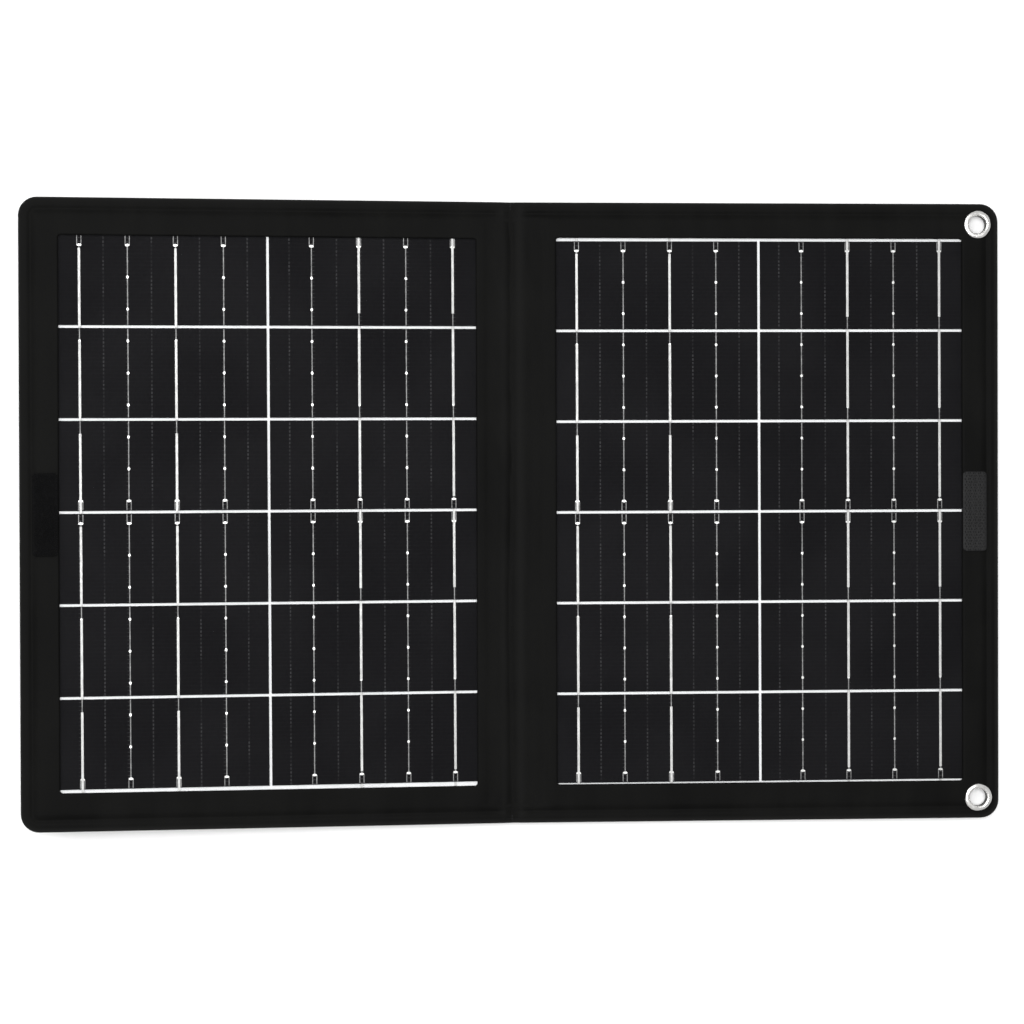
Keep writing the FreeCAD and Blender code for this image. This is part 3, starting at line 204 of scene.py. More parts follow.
class Shader:
    """A node material, with short ways to add what a finish needs."""

    def __init__(self, name: str) -> None:
        """Starts a material with a Principled surface.

        Args:
            name: The material's name.
        """
        self.material = bpy.data.materials.new(name)
        self.material.use_nodes = True
        self.tree = self.material.node_tree
        self.tree.nodes.clear()
        output = self.tree.nodes.new("ShaderNodeOutputMaterial")
        self.surface = self.tree.nodes.new("ShaderNodeBsdfPrincipled")
        self.tree.links.new(self.surface.outputs[0], output.inputs[0])

    def set(self, **values: object) -> None:
        """Sets the surface's own sockets, named with underscores for spaces."""
        for name, value in values.items():
            self.feed(self.surface.inputs[name.replace("_", " ").strip()], value)

    def feed(self, target: Socket, value: object) -> None:
        """Links a socket into another, or sets the other's value.

        Args:
            target: The socket that is fed.
            value: A socket, a number, a vector or a colour.
        """
        if isinstance(value, Socket):
            self.tree.links.new(value, target)
        elif isinstance(value, tuple) and len(value) == 3 and target.type == "RGBA":
            target.default_value = (*value, 1)
        else:
            target.default_value = value

    def node(self, kind: str, *inputs: object, **settings: object) -> bpy.types.Node:
        """Adds a node.

        Args:
            kind: The node's type, without the ShaderNode in front.
            inputs: What goes into its first sockets; None leaves one alone.
            settings: Properties of the node.

        Returns:
            The new node.
        """
        made = self.tree.nodes.new("ShaderNode" + kind)
        for name, value in settings.items():
            setattr(made, name, value)
        for target, value in zip(made.inputs, inputs):
            if value is not None:
                self.feed(target, value)
        return made

    def math(self, operation: str, *inputs: Value) -> Socket:
        """The result of a Math node."""
        return self.node("Math", *inputs, operation=operation).outputs[0]

    def times(self, *inputs: Value) -> Socket:
        """Two values multiplied."""
        return self.math("MULTIPLY", *inputs)

    def plus(self, *inputs: Value) -> Socket:
        """Two values added."""
        return self.math("ADD", *inputs)

    def less(self, *inputs: Value) -> Socket:
        """The first value less the second."""
        return self.math("SUBTRACT", *inputs)

    def remap(self, value: Value, old: Sequence[float], new: Sequence[float]) -> Socket:
        """The value, taken smoothly from one range to another and held at its ends."""
        made = self.node("MapRange", value, *old, *new, interpolation_type="SMOOTHSTEP")
        return made.outputs[0]

    def place(self, where: Coordinates) -> Socket:
        """Where a point is on its piece, in metres.

        Args:
            where: Whether the place is the flat pattern's or the node's own.

        Returns:
            A vector socket.
        """
        if where is Coordinates.PATTERN:
            return self.node("UVMap", uv_map=FLAT_MAP).outputs[0]
        return self.node("TexCoord").outputs["Object"]

    def flat_place(self, wing: Wing) -> Socket:
        """Where a point of a frame node is in the flat pattern, in metres.

        Args:
            wing: The wing that the node is on.

        Returns:
            A vector socket.
        """
        tilt = -FOLD.rest_tilt if wing is Wing.LEFT else 0.0
        height = Vector((0, 0, FOLD.height * MM))
        turn = Euler((0, tilt, 0))
        shift = height - turn.to_matrix() @ height
        return self.node("Mapping", self.place(Coordinates.NODE), shift, turn).outputs[0]

    def noise(self, place: Socket, size: float, detail: float = 3.0) -> Socket:
        """Cloudy variation between 0 and 1, with features of a size in millimetres."""
        return self.node("TexNoise", place, None, 1 / (size * MM), detail).outputs[0]

    def mix(self, share: Value, first: Union[Socket, Colour], second: object) -> Socket:
        """Mixes two colours.

        Args:
            share: How much of the second there is, from 0 to 1.
            first: A colour or a colour socket.
            second: The same.

        Returns:
            A colour socket.
        """
        made = self.node("Mix", data_type="RGBA")
        self.feed(made.inputs[0], share)
        self.feed(made.inputs[6], first)
        self.feed(made.inputs[7], second)
        return made.outputs[2]

    def scaled(self, place: Socket, factors: Sequence[float]) -> Socket:
        """The place with each axis scaled."""
        return self.node("Mapping", place, None, None, tuple(factors)).outputs[0]

    def bump(self, height: Socket, distance: float) -> None:
        """Raises the surface.

        Args:
            height: The relief, from 0 to 1.
            distance: What it is times, in millimetres.
        """
        made = self.node("Bump", 1.0, distance * MM)
        self.feed(made.inputs["Height"], height)
        self.feed(self.surface.inputs["Normal"], made.outputs[0])


def toned(colour: Colour, factor: float) -> Colour:
    """A colour made darker or lighter, and never over full white."""
    return tuple(min(1.0, part * factor) for part in colour)


@dataclass(frozen=True)
class Finish:
    """A moulded, cast or rolled surface with grain and mottling.

    `grain` and `cloud` are feature sizes, `relief` is the height of the grain, and
    `stretch` scales the grain along each axis, which makes brushed or drawn streaks.
    """

    name: str
    colour: Colour
    rough: float = 0.5
    metal: float = 0.0
    gloss: float = 0.3
    grain: float = 0.4
    relief: float = 0.01
    cloud: float = 12.0
    variation: float = 0.25
    roughness_play: float = 0.12
    alpha: float = 1.0
    stretch: tuple[float, float, float] = (1.0, 1.0, 1.0)
    where: Coordinates = Coordinates.NODE

    def tints(self) -> tuple[Colour, Colour]:
        """The darker and the lighter tone that the mottling moves between."""
        return toned(self.colour, 1 - self.variation), toned(self.colour, 1 + self.variation)

    def make(self) -> bpy.types.Material:
        """The finish as a node material.

        Returns:
            The material.
        """
        shade = Shader(self.name)
        place = shade.place(self.where)
        cloud = shade.noise(place, self.cloud, 4)
        grain = shade.noise(shade.scaled(place, self.stretch), self.grain, 5)
        both = shade.plus(shade.times(cloud, 0.6), shade.times(grain, 0.4))
        darker, lighter = self.tints()
        shade.set(Base_Color=shade.mix(shade.remap(both, (0.3, 0.7), (0, 1)), darker, lighter))
        rough = (self.rough - self.roughness_play, self.rough + self.roughness_play)
        shade.set(Roughness=shade.remap(grain, (0.3, 0.7), rough))
        shade.set(Metallic=self.metal, Specular_IOR_Level=self.gloss, Alpha=self.alpha)
        shade.bump(grain, self.relief)
        return shade.material


@dataclass(frozen=True)
class CoatedCloth:
    """The pressed front cover: cloth under a thin matte coating with a leathery grain."""

    name: str = "front_cover_fabric"
    colour: Colour = (0.0045, 0.0045, 0.0043)
    worn: Colour = (0.03, 0.03, 0.0295)
    grain: float = 0.42
    cloud: float = 34.0

    def make(self) -> bpy.types.Material:
        """The finish as a node material.

        Returns:
            The material.
        """
        shade = Shader(self.name)
        place = shade.place(Coordinates.PATTERN)
        pebble = shade.node("TexVoronoi", place, None, 1 / (self.grain * MM)).outputs[0]
        fine = shade.noise(place, self.grain / 2, 4)
        broad = shade.noise(place, self.cloud, 3)
        streak = shade.noise(shade.scaled(place, (1.0, 0.12, 1.0)), 9.0, 2)
        tone = shade.plus(shade.times(broad, 0.6), shade.times(streak, 0.4))
        dark = toned(self.colour, 0.75)
        light = toned(self.colour, 1.35)
        cloth = shade.mix(shade.remap(tone, (0.32, 0.68), (0, 1)), dark, light)
        # Darker at the edges of each pebble, where the bump sinks: painted shade in the grain's hollows.
        cloth = shade.mix(shade.times(pebble, 0.35), cloth, toned(self.colour, 0.55))
        wear = shade.node("Attribute", attribute_name=WEAR).outputs["Fac"]
        rubbed = shade.times(wear, shade.remap(fine, (0.35, 0.65), (0.35, 1.0)))
        shade.set(Base_Color=shade.mix(rubbed, cloth, self.worn))
        shade.set(Roughness=shade.remap(tone, (0.3, 0.7), (0.5, 0.64)))
        shade.set(Specular_IOR_Level=0.022, Sheen_Weight=0.004, Sheen_Roughness=0.4)
        height = shade.less(shade.times(fine, 0.5), pebble)
        shade.bump(height, 0.035)
        return shade.material


@dataclass(frozen=True)
class WovenCloth:
    """Plain-weave cloth: threads that pass over and under each other, with stray fibres."""

    name: str = "back_cover_fabric"
    colour: Colour = (0.0075, 0.0075, 0.008)
    pitch: float = 0.62
    relief: float = 0.07

    def make(self) -> bpy.types.Material:
        """The finish as a node material.

        Returns:
            The material.
        """
        shade = Shader(self.name)
        place = shade.place(Coordinates.PATTERN)
        bent = shade.noise(place, 9.0, 2)
        parts = shade.node("SeparateXYZ", place).outputs
        waves = []
        for part in parts[:2]:
            shifted = shade.plus(part, shade.times(bent, 0.00035))
            waves.append(shade.math("SINE", shade.times(shifted, math.pi / (self.pitch * MM))))
        over = shade.remap(shade.times(*waves), (-0.12, 0.12), (0, 1))
        ridges = [shade.math("ABSOLUTE", wave) for wave in waves]
        kept = shade.times(ridges[0], over)
        other = shade.times(ridges[1], shade.less(1.0, over))
        weave = shade.plus(kept, other)
        fibre = shade.noise(place, 0.12, 3)
        broad = shade.noise(place, 28.0, 3)
        # The colour follows the weave's relief: painted shade darkens the gaps between threads and painted
        # highlight lightens the thread tops; the fibre noise on top is the yarn's own variation.
        thread = shade.times(weave, shade.remap(fibre, (0.3, 0.7), (0.55, 1.0)))
        low = toned(self.colour, 0.45)
        high = toned(self.colour, 1.5)
        cloth = shade.mix(thread, low, high)
        wear = shade.node("Attribute", attribute_name=WEAR).outputs["Fac"]
        cloth = shade.mix(shade.times(wear, 0.5), cloth, toned(self.colour, 3))
        shade.set(Base_Color=shade.mix(shade.times(broad, 0.3), cloth, high))
        shade.set(Roughness=shade.remap(thread, (0, 1), (0.92, 0.68)))
        shade.set(Specular_IOR_Level=0.12, Sheen_Weight=0.05, Sheen_Roughness=0.5)
        shade.bump(thread, self.relief)
        return shade.material


@dataclass(frozen=True)
class Silicon:
    """Dark cell strips with printed fingers and faint dotted lines between the busbars."""

    wing: Wing
    centre: float
    half_width: float
    inset: float
    pitch: float
    finger_pitch: float = 1.32
    colour: Colour = (0.0052, 0.0051, 0.0058)
    lighter: Colour = (0.0074, 0.0073, 0.0081)
    silver: Colour = (0.13, 0.13, 0.135)

    def line(self, shade: Shader, phase: Socket, middle: float, width: float) -> Socket:
        """A soft line where a repeating phase passes a value.

        Args:
            shade: The shader that the line is for.
            phase: The repeating value, from 0 to 1.
            middle: The phase at the middle of the line.
            width: How wide the line is, as a share of the period.

        Returns:
            A socket that is 1 on the line and 0 off it.
        """
        away = shade.math("ABSOLUTE", shade.less(phase, middle))
        return shade.remap(away, (width * 0.35, width * 0.65), (1, 0))

    def make(self) -> bpy.types.Material:
        """The finish as a node material.

        Returns:
            The material.
        """
        shade = Shader(f"{self.wing.key}_cell")
        place = shade.flat_place(self.wing)
        x, y, _ = shade.node("SeparateXYZ", place).outputs
        across = shade.math("ABSOLUTE", shade.less(x, self.centre * MM))
        from_edge = shade.less((self.half_width - self.inset) * MM, across)
        column = shade.math("FRACT", shade.math("DIVIDE", from_edge, self.pitch * MM))
        row = shade.math("FRACT", shade.math("DIVIDE", y, self.finger_pitch * MM))
        finger = self.line(shade, row, 0.5, 0.16)
        dot = shade.times(self.line(shade, column, 0.5, 0.03), self.line(shade, row, 0.5, 0.6))
        near_bar = shade.math("ABSOLUTE", shade.less(column, 0.5))
        stub = shade.times(finger, shade.remap(near_bar, (0.44, 0.5), (0, 1)))
        patchy = shade.remap(shade.noise(place, 5.0, 3), (0.38, 0.62), (0.25, 1.0))
        prints = shade.times(finger, 0.012), shade.times(stub, 0.25)
        mark = shade.math("MAXIMUM", *prints)
        mark = shade.math("MAXIMUM", mark, shade.times(shade.times(dot, patchy), 0.22))
        tone = shade.noise(place, 42.0, 2)
        speck = shade.noise(place, 0.5, 5)
        silicon = shade.mix(shade.remap(tone, (0.35, 0.65), (0, 1)), self.colour, self.lighter)
        silicon = shade.mix(shade.times(speck, 0.3), silicon, toned(self.colour, 0.6))
        shade.set(Base_Color=shade.mix(mark, silicon, self.silver))
        shade.set(Roughness=shade.remap(speck, (0.3, 0.7), (0.56, 0.74)))
        shade.set(Specular_IOR_Level=0.018)
        shade.bump(shade.plus(mark, shade.times(speck, 0.15)), 0.012)
        return shade.material


@dataclass(frozen=True)
class ClearSheet:
    """A clear bonded sheet with a satin face."""

    name: str
    colour: Colour
    alpha: float
    rough: float = 0.36
    gloss: float = 0.4
    pebble: float = 0.7

    def make(self) -> bpy.types.Material:
        """The finish as a node material.

        Returns:
            The material.
        """
        shade = Shader(self.name)
        place = shade.place(Coordinates.NODE)
        pebble = shade.noise(place, self.pebble, 2)
        swell = shade.noise(place, 46.0, 2)
        haze = shade.noise(place, 18.0, 3)
        shade.set(Base_Color=shade.mix(haze, toned(self.colour, 0.75), self.colour))
        shade.set(Alpha=shade.remap(haze, (0.3, 0.7), (self.alpha * 0.85, self.alpha * 1.15)))
        shade.set(Roughness=shade.remap(pebble, (0.3, 0.7), (self.rough - 0.06, self.rough + 0.06)))
        shade.set(Specular_IOR_Level=self.gloss, IOR=1.42)
        height = shade.plus(shade.times(pebble, 0.02), shade.times(swell, 0.6))
        shade.bump(height, 0.5)
        return shade.material


class Finishes:
    """Every finish on the panel, made once and looked up by name."""

    CASTINGS = (
        Finish("board", (0.12, 0.12, 0.12), 0.7, grain=0.8, relief=0.03),
        Finish("backsheet", (0.84, 0.85, 0.86), 0.55, grain=0.7, relief=0.008, variation=0.04),
        Finish("tinned_ribbon", (0.4, 0.4, 0.395), 0.5, metal=0.4, gloss=0.5, grain=0.5,
               relief=0.02, cloud=3.0, variation=0.14, stretch=(3.0, 0.25, 1.0)),
        Finish("printed_silver", (0.17, 0.17, 0.17), 0.5, metal=0.2, grain=0.9, relief=0.006,
               cloud=1.6, variation=0.45),
        Finish("solder_pad", (0.5, 0.5, 0.49), 0.36, metal=0.5, gloss=0.5, grain=0.3,
               relief=0.02, cloud=1.5, variation=0.2),
        Finish("flat_lead", (0.7, 0.69, 0.66), 0.45, metal=0.9, gloss=0.5, relief=0.02,
               stretch=(0.2, 2.0, 1.0)),
        Finish("eyelet_metal", (0.9, 0.89, 0.87), 0.17, metal=1.0, gloss=0.5, grain=0.9,
               relief=0.012, cloud=4.0, variation=0.06, roughness_play=0.08),
        # eyelet_bore: the barrel's inner wall is painted near black, a painted shade and painted dark
        # reflection inside the bore.
        Finish("eyelet_bore", (0.045, 0.043, 0.04), 0.6, metal=0.2, gloss=0.15, grain=0.9,
               relief=0.012, cloud=3.0, variation=0.5),
        Finish("controller_plastic", (0.0105, 0.0105, 0.011), 0.5, gloss=0.3, grain=0.35,
               relief=0.03, cloud=20.0, variation=0.2),
        Finish("screw_steel", (0.07, 0.07, 0.075), 0.38, metal=0.9, gloss=0.5,
               stretch=(1.0, 0.3, 1.0)),
        Finish("circuit_laminate", (0.012, 0.1, 0.035), 0.32, gloss=0.5, grain=1.1, relief=0.03),
        Finish("socket_steel", (0.66, 0.66, 0.67), 0.28, metal=1.0, gloss=0.5, grain=0.5,
               stretch=(0.15, 2.5, 1.0)),
        Finish("usb_a_tongue", (0.78, 0.78, 0.76), 0.42, grain=0.3, relief=0.008, variation=0.05),
        Finish("usb_c_tongue", (0.02, 0.02, 0.02), 0.45, grain=0.3, relief=0.008),
        Finish("gilt_contact", (0.83, 0.6, 0.26), 0.25, metal=1.0, gloss=0.5, grain=0.3,
               relief=0.006, cloud=1.5, variation=0.08),
        Finish("ferrite", (0.05, 0.05, 0.055), 0.62, grain=0.25, relief=0.02),
        Finish("moulded_epoxy", (0.02, 0.02, 0.021), 0.55, grain=0.2, relief=0.02),
        Finish("capacitor_ceramic", (0.42, 0.27, 0.1), 0.4, grain=0.3, relief=0.01),
        Finish("light_source", (0.82, 0.8, 0.55), 0.35, grain=0.3, relief=0.01, variation=0.1),
        Finish("hook_nylon", (0.0085, 0.0085, 0.009), 0.38, gloss=0.25, grain=0.3, relief=0.01),
        Finish("hook_tape", (0.0075, 0.0075, 0.0078), 0.55, gloss=0.15, grain=0.3, relief=0.05,
               where=Coordinates.PATTERN, stretch=(0.35, 2.2, 1.0)),
        Finish("loop_nylon", (0.0042, 0.0042, 0.0045), 0.6, gloss=0.12, grain=0.1, relief=0.01),
        Finish("loop_tape", (0.0026, 0.0026, 0.0028), 0.9, gloss=0.08, grain=0.25, relief=0.08,
               where=Coordinates.PATTERN),
        Finish("pale_floor", (0.86, 0.86, 0.86), 0.8, gloss=0.1, grain=3.0, cloud=300.0,
               variation=0.01),
    )
    SPECIAL = (
        CoatedCloth(),
        WovenCloth(),
        ClearSheet("front_film", (0.012, 0.012, 0.014), alpha=0.03, rough=0.5, gloss=0.14),
        ClearSheet("encapsulant", (0.9, 0.9, 0.9), alpha=0.05, rough=0.2),
        ClearSheet("light_lens", (0.75, 0.8, 0.8), alpha=0.45, rough=0.12, gloss=0.5),
    )

    def __init__(self) -> None:
        """Makes nothing yet."""
        self.recipes = {recipe.name: recipe for recipe in (*self.CASTINGS, *self.SPECIAL)}
        self.made: dict[str, bpy.types.Material] = {}

    def get(self, name: str) -> bpy.types.Material:
        """Finds a material, and makes it the first time.

        Args:
            name: The finish's name.

        Returns:
            Its material.
        """
        if name not in self.made:
            self.made[name] = self.recipes[name].make()
        return self.made[name]

    def dress_node(self, node: str, material: bpy.types.Material) -> None:
        """Gives a frame node its material in every slot.

        Args:
            node: The node's name.
            material: What it wears.
        """
        piece = frame["nodes"][node]
        for slot in piece.material_slots:
            slot.material = material
        if not piece.material_slots:
            piece.data.materials.append(material)

    def dress_frame(self) -> None:
        """Gives every frame node the finish that its slot in the record names."""
        for part in frame["record"]["subparts"]:
            if part["material_slot"] in self.recipes:
                self.dress_node(part["node"], self.get(part["material_slot"]))


FINISHES = Finishes()


# ---------------------------------------------------------------- meshes


class Stock:
    """Mesh material gathered from small shapes, in the flat pattern."""

    def __init__(self) -> None:
        """Starts empty."""
        self.points: list[np.ndarray] = []
        self.faces: list[tuple[int, ...]] = []
        self.paint: list[int] = []
        self.count = 0

    def add(self, points: np.ndarray, faces: Iterable[Sequence[int]], paint: int = 0) -> None:
        """Adds a shape.

        Args:
            points: Its corners, one a row.
            faces: Its faces, as indices into those.
            paint: Which of the piece's materials it wears.
        """
        for face in faces:
            self.faces.append(tuple(index + self.count for index in face))
            self.paint.append(paint)
        self.points.append(points)
        self.count += len(points)

    def plate(self, outline: np.ndarray, low: float, high: float, paint: int = 0) -> None:
        """Adds a flat plate.

        Args:
            outline: Its plan, corners going round to the left.
            low: The level of its underside.
            high: The level of its face.
            paint: Which of the piece's materials it wears.
        """
        count = len(outline)
        levels = [np.column_stack([outline, np.full(count, level)]) for level in (low, high)]
        faces = [tuple(range(count, 2 * count)), tuple(range(count - 1, -1, -1))]
        faces += [(i, (i + 1) % count, (i + 1) % count + count, i + count) for i in range(count)]
        self.add(np.concatenate(levels), faces, paint)

    def tube(self, path: np.ndarray, radius: float, sides: int = 5) -> None:
        """Adds a round rod along a path, with its ends closed.

        Args:
            path: The places that it runs through, one a row.
            radius: Half of its thickness.
            sides: How many flats go round it.
        """
        count = len(path)
        along = np.gradient(path, axis=0)
        along /= np.linalg.norm(along, axis=1)[:, None]
        normal = np.cross(along.mean(0) + (0.013, 0.017, 0.011), along)
        normal /= np.linalg.norm(normal, axis=1)[:, None]
        other = np.cross(along, normal)
        turns = np.arange(sides) * 2 * math.pi / sides
        ring = np.cos(turns)[None, :, None] * normal[:, None] + np.sin(turns)[None, :, None] * other[:, None]
        points = (path[:, None] + ring * radius).reshape(-1, 3)
        faces = [tuple(range(sides - 1, -1, -1)), tuple(range((count - 1) * sides, count * sides))]
        for row in range(count - 1):
            for side in range(sides):
                a, b = row * sides + side, row * sides + (side + 1) % sides
                faces.append((a, b, b + sides, a + sides))
        self.add(points, faces)

    def spin(self, profile: np.ndarray, centre: Sequence[float], steps: int,
             wobble: Callable[[float, np.ndarray], np.ndarray], paints: dict[int, int]) -> None:
        """Adds a ring: a closed profile of radii and heights, spun round a centre.

        Args:
            profile: The section, a radius and a height a row.
            centre: The middle of the ring, in plan.
            steps: How many faces go round it.
            wobble: What gives each point's stray from round at a turn.
            paints: The materials of the profile's sides that don't wear the first one.
        """
        turns = np.arange(steps) * 2 * math.pi / steps
        rings = []
        for turn in turns:
            radius = profile[:, 0] + wobble(turn, profile)
            x, y = centre[0] + radius * math.cos(turn), centre[1] + radius * math.sin(turn)
            rings.append(np.stack([x, y, profile[:, 1]], 1))
        count = len(profile)
        faces = []
        for ring in range(steps):
            after = (ring + 1) % steps
            for i in range(count):
                j = (i + 1) % count
                faces.append((ring * count + i, after * count + i, after * count + j, ring * count + j))
        self.add(np.concatenate(rings), faces)
        self.paint[-len(faces):] = [paints.get(number % count, 0) for number in range(len(faces))]

    def piece(self, name: str, finishes: Sequence[str], bent: Map, smooth: float = 40.0
              ) -> bpy.types.Object:
        """Turns the stock into a Blender object.

        Args:
            name: The object's name.
            finishes: The names of its materials.
            bent: What takes flat places to places at rest.
            smooth: Edges sharper than this many degrees stay crisp.

        Returns:
            The object, in metres, with its flat places kept as a UV map.
        """
        flat = np.concatenate(self.points)
        mesh = bpy.data.meshes.new(name)
        mesh.from_pydata((bent(flat) * MM).tolist(), [], self.faces)
        made = bmesh.new()
        made.from_mesh(mesh)
        bmesh.ops.recalc_face_normals(made, faces=made.faces)
        made.to_mesh(mesh)
        made.free()
        corners = np.empty(len(mesh.loops), dtype=np.int32)
        mesh.loops.foreach_get("vertex_index", corners)
        layer = mesh.uv_layers.new(name=FLAT_MAP)
        layer.data.foreach_set("uv", (flat[corners, :2] * MM + 0.5).astype(np.float32).ravel())
        mesh.polygons.foreach_set("material_index", self.paint)
        mesh.polygons.foreach_set("use_smooth", [True] * len(mesh.polygons))
        mesh.set_sharp_from_angle(angle=math.radians(smooth))
        for finish in finishes:
            mesh.materials.append(FINISHES.get(finish))
        piece = bpy.data.objects.new(name, mesh)
        bpy.context.scene.collection.objects.link(piece)
        log.info("%s: %d faces", name, len(mesh.polygons))
        return piece


def ellipse(centre: Sequence[float], half: Sequence[float], steps: int = 14) -> np.ndarray:
    """Draws an ellipse.

    Args:
        centre: Its middle.
        half: Half of its width and half of its length.
        steps: How many corners it has.

    Returns:
        Its plan, going round to the left.
    """
    turns = np.arange(steps) * 2 * math.pi / steps
    return np.stack([centre[0] + half[0] * np.cos(turns), centre[1] + half[1] * np.sin(turns)], 1)


@dataclass(frozen=True)
class Panel:
    """A rectangle with rounded corners, in plan."""

    low_x: float
    high_x: float
    low_y: float
    high_y: float
    corner: float
    corner_steps: int = 8

    @property
    def half(self) -> np.ndarray:
        """Half of its width and half of its length."""
        return np.array([self.high_x - self.low_x, self.high_y - self.low_y]) / 2

    @property
    def centre(self) -> np.ndarray:
        """Its middle."""
        return np.array([self.high_x + self.low_x, self.high_y + self.low_y]) / 2

    def depth(self, plan: np.ndarray) -> np.ndarray:
        """How far inside the edge places are.

        Args:
            plan: The places, one a row.

        Returns:
            A depth for each, negative outside.
        """
        away = np.abs(plan - self.centre) - self.half + self.corner
        outside = np.linalg.norm(np.maximum(away, 0), axis=1)
        return self.corner - outside - np.minimum(away.max(1), 0)

    def loop(self, inset: float, spacing: float) -> np.ndarray:
        """The outline at some inset, going round to the left.

        Args:
            inset: How far inside the edge it runs, negative for outside.
            spacing: About how far apart its points are on the straights.

        Returns:
            Its points. Loops of one panel have theirs in line, whatever the inset.
        """
        radius = max(self.corner - inset, 0.02)
        hubs = self.half - inset - radius
        counts = [max(1, round(2 * (size - self.corner) / spacing)) for size in self.half]
        points = []
        for quarter, (sx, sy) in enumerate(((1, 1), (-1, 1), (-1, -1), (1, -1))):
            turns = (quarter + np.linspace(0, 1, self.corner_steps + 1)) * math.pi / 2
            arc = np.stack([np.cos(turns), np.sin(turns)], 1) * radius + hubs * (sx, sy)
            points.extend(arc)
            ahead = hubs * ((-1, 1), (-1, -1), (1, -1), (1, 1))[quarter]
            heading = math.pi / 2 * (quarter + 1)
            start, end = arc[-1], ahead + radius * np.array([math.cos(heading), math.sin(heading)])
            count = counts[quarter % 2]
            points.extend(start + (end - start) * step / count for step in range(1, count))
        return np.array(points) + self.centre


@dataclass(frozen=True)
class Ripple:
    """Gentle swells in soft cloth: a few waves with seeded headings and lengths."""

    height: float
    shortest: float
    longest: float
    seed: int
    waves: int = 9

    def at(self, plan: np.ndarray) -> np.ndarray:
        """How high the swell stands.

        Args:
            plan: Places, one a row.

        Returns:
            A height for each, nearly all between plus and minus the ripple's own.
        """
        chance = np.random.default_rng(self.seed)
        total = np.zeros(len(plan))
        for _ in range(self.waves):
            heading = chance.uniform(0, 2 * math.pi)
            length = chance.uniform(self.shortest, self.longest)
            step = plan @ (math.cos(heading), math.sin(heading)) * 2 * math.pi / length
            total += np.sin(step + chance.uniform(0, 2 * math.pi))
        return self.height * total / math.sqrt(self.waves) / 1.6


class Cutting:
    """A sheet cut in plan: an outline with holes, meshed along chosen guide lines."""

    def __init__(self, outline: Panel) -> None:
        """Starts a sheet.

        Args:
            outline: The line that it is cut along.
        """
        self.outline = outline
        self.points: list[np.ndarray] = []
        self.edges: list[tuple[int, int]] = []
        self.count = 0
        self.holes: list[Map] = []

    def guide(self, points: np.ndarray) -> None:
        """Adds a closed line that the mesh follows.

        Args:
            points: Its corners in plan, in order.
        """
        count = len(points)
        self.edges += [(self.count + i, self.count + (i + 1) % count) for i in range(count)]
        self.points.append(points)
        self.count += count

    def scatter(self, points: np.ndarray) -> None:
        """Adds loose points."""
        self.points.append(points)
        self.count += len(points)

    def lattice(self, spacing: Sequence[float], wanted: Map) -> None:
        """Adds loose points in rows and columns.

        Args:
            spacing: How far apart they are in x and in y.
            wanted: Says of each place of a plan whether a point goes there.
        """
        half = self.outline.half
        counts = [int(size // step) for size, step in zip(half, spacing)]
        axes = [np.arange(-count, count + 1) * step for count, step in zip(counts, spacing)]
        plan = np.stack(np.meshgrid(*axes), -1).reshape(-1, 2)
        self.scatter(plan[wanted(plan)])

    def triangles(self) -> tuple[np.ndarray, np.ndarray]:
        """Meshes the plan of the sheet.

        Returns:
            Its places, and its triangles as indices into them.
        """
        plan = np.concatenate(self.points)
        vectors = [Vector(point) for point in plan.tolist()]
        made = delaunay_2d_cdt(vectors, self.edges, [], 0, 1e-5, False)
        places = np.array([tuple(point) for point in made[0]])
        faces = np.array([face for face in made[2] if len(face) == 3])
        middles = places[faces].mean(1)
        kept = self.outline.depth(middles) > 0
        for hole in self.holes:
            kept &= ~hole(middles)
        return places, faces[kept]

    def sheet(self, stock: Stock, face: Map, back: Map) -> None:
        """Adds the sheet to a stock, with a face, a back and walls at its edges.

        Args:
            stock: Where it goes.
            face: The level of the upper side at each place of a plan.
            back: The level of the lower side.
        """
        places, faces = self.triangles()
        used, numbers = np.unique(faces, return_inverse=True)
        places, faces = places[used], numbers.reshape(-1, 3)
        a, b, c = (places[faces[:, i]] for i in range(3))
        turn = (b[:, 0] - a[:, 0]) * (c[:, 1] - a[:, 1]) - (b[:, 1] - a[:, 1]) * (c[:, 0] - a[:, 0])
        faces[turn < 0] = faces[turn < 0][:, ::-1]
        count = len(places)
        upper = np.column_stack([places, face(places)])
        lower = np.column_stack([places, back(places)])
        sides = np.concatenate([faces[:, [0, 1]], faces[:, [1, 2]], faces[:, [2, 0]]])
        found = {(int(p), int(q)) for p, q in sides}
        walls = [(q, p, p + count, q + count) for p, q in found if (q, p) not in found]
        both = [tuple(map(int, face)) for face in faces]
        both += [tuple(int(i) + count for i in face[::-1]) for face in faces]
        stock.add(np.concatenate([upper, lower]), both + sorted(walls))


def set_wear(piece: bpy.types.Object, wear: np.ndarray) -> None:
    """Stores how worn a piece is.

    Args:
        piece: The piece.
        wear: The wear at each of its points, from 0 to 1.
    """
    layer = piece.data.attributes.new(WEAR, "FLOAT", "POINT")
    layer.data.foreach_set("value", wear.astype(np.float32))


ROUND_STEPS = (0.0, 0.08, 0.29, 0.62, 1.0)
LINE_STEPS = (-0.9, -0.6, -0.35, -0.15, 0.0, 0.15, 0.35, 0.6, 0.9)
WALL_STEPS = (-0.15, 0.0, 0.12, 0.25, 0.4, 0.55, 0.7, 0.85, 1.0, 1.25)
WALL_LEAD = 0.15
BOND = 0.01


def rounded_drop(depth: np.ndarray, radius: float) -> np.ndarray:
    """How far a rounded edge falls below its face.

    Args:
        depth: How far inside the edge each place is.
        radius: The edge's radius.

    Returns:
        A drop for each place.
    """
    short = np.clip(1 - depth / radius, 0, 1)
    return radius * (1 - np.sqrt(1 - short * short))


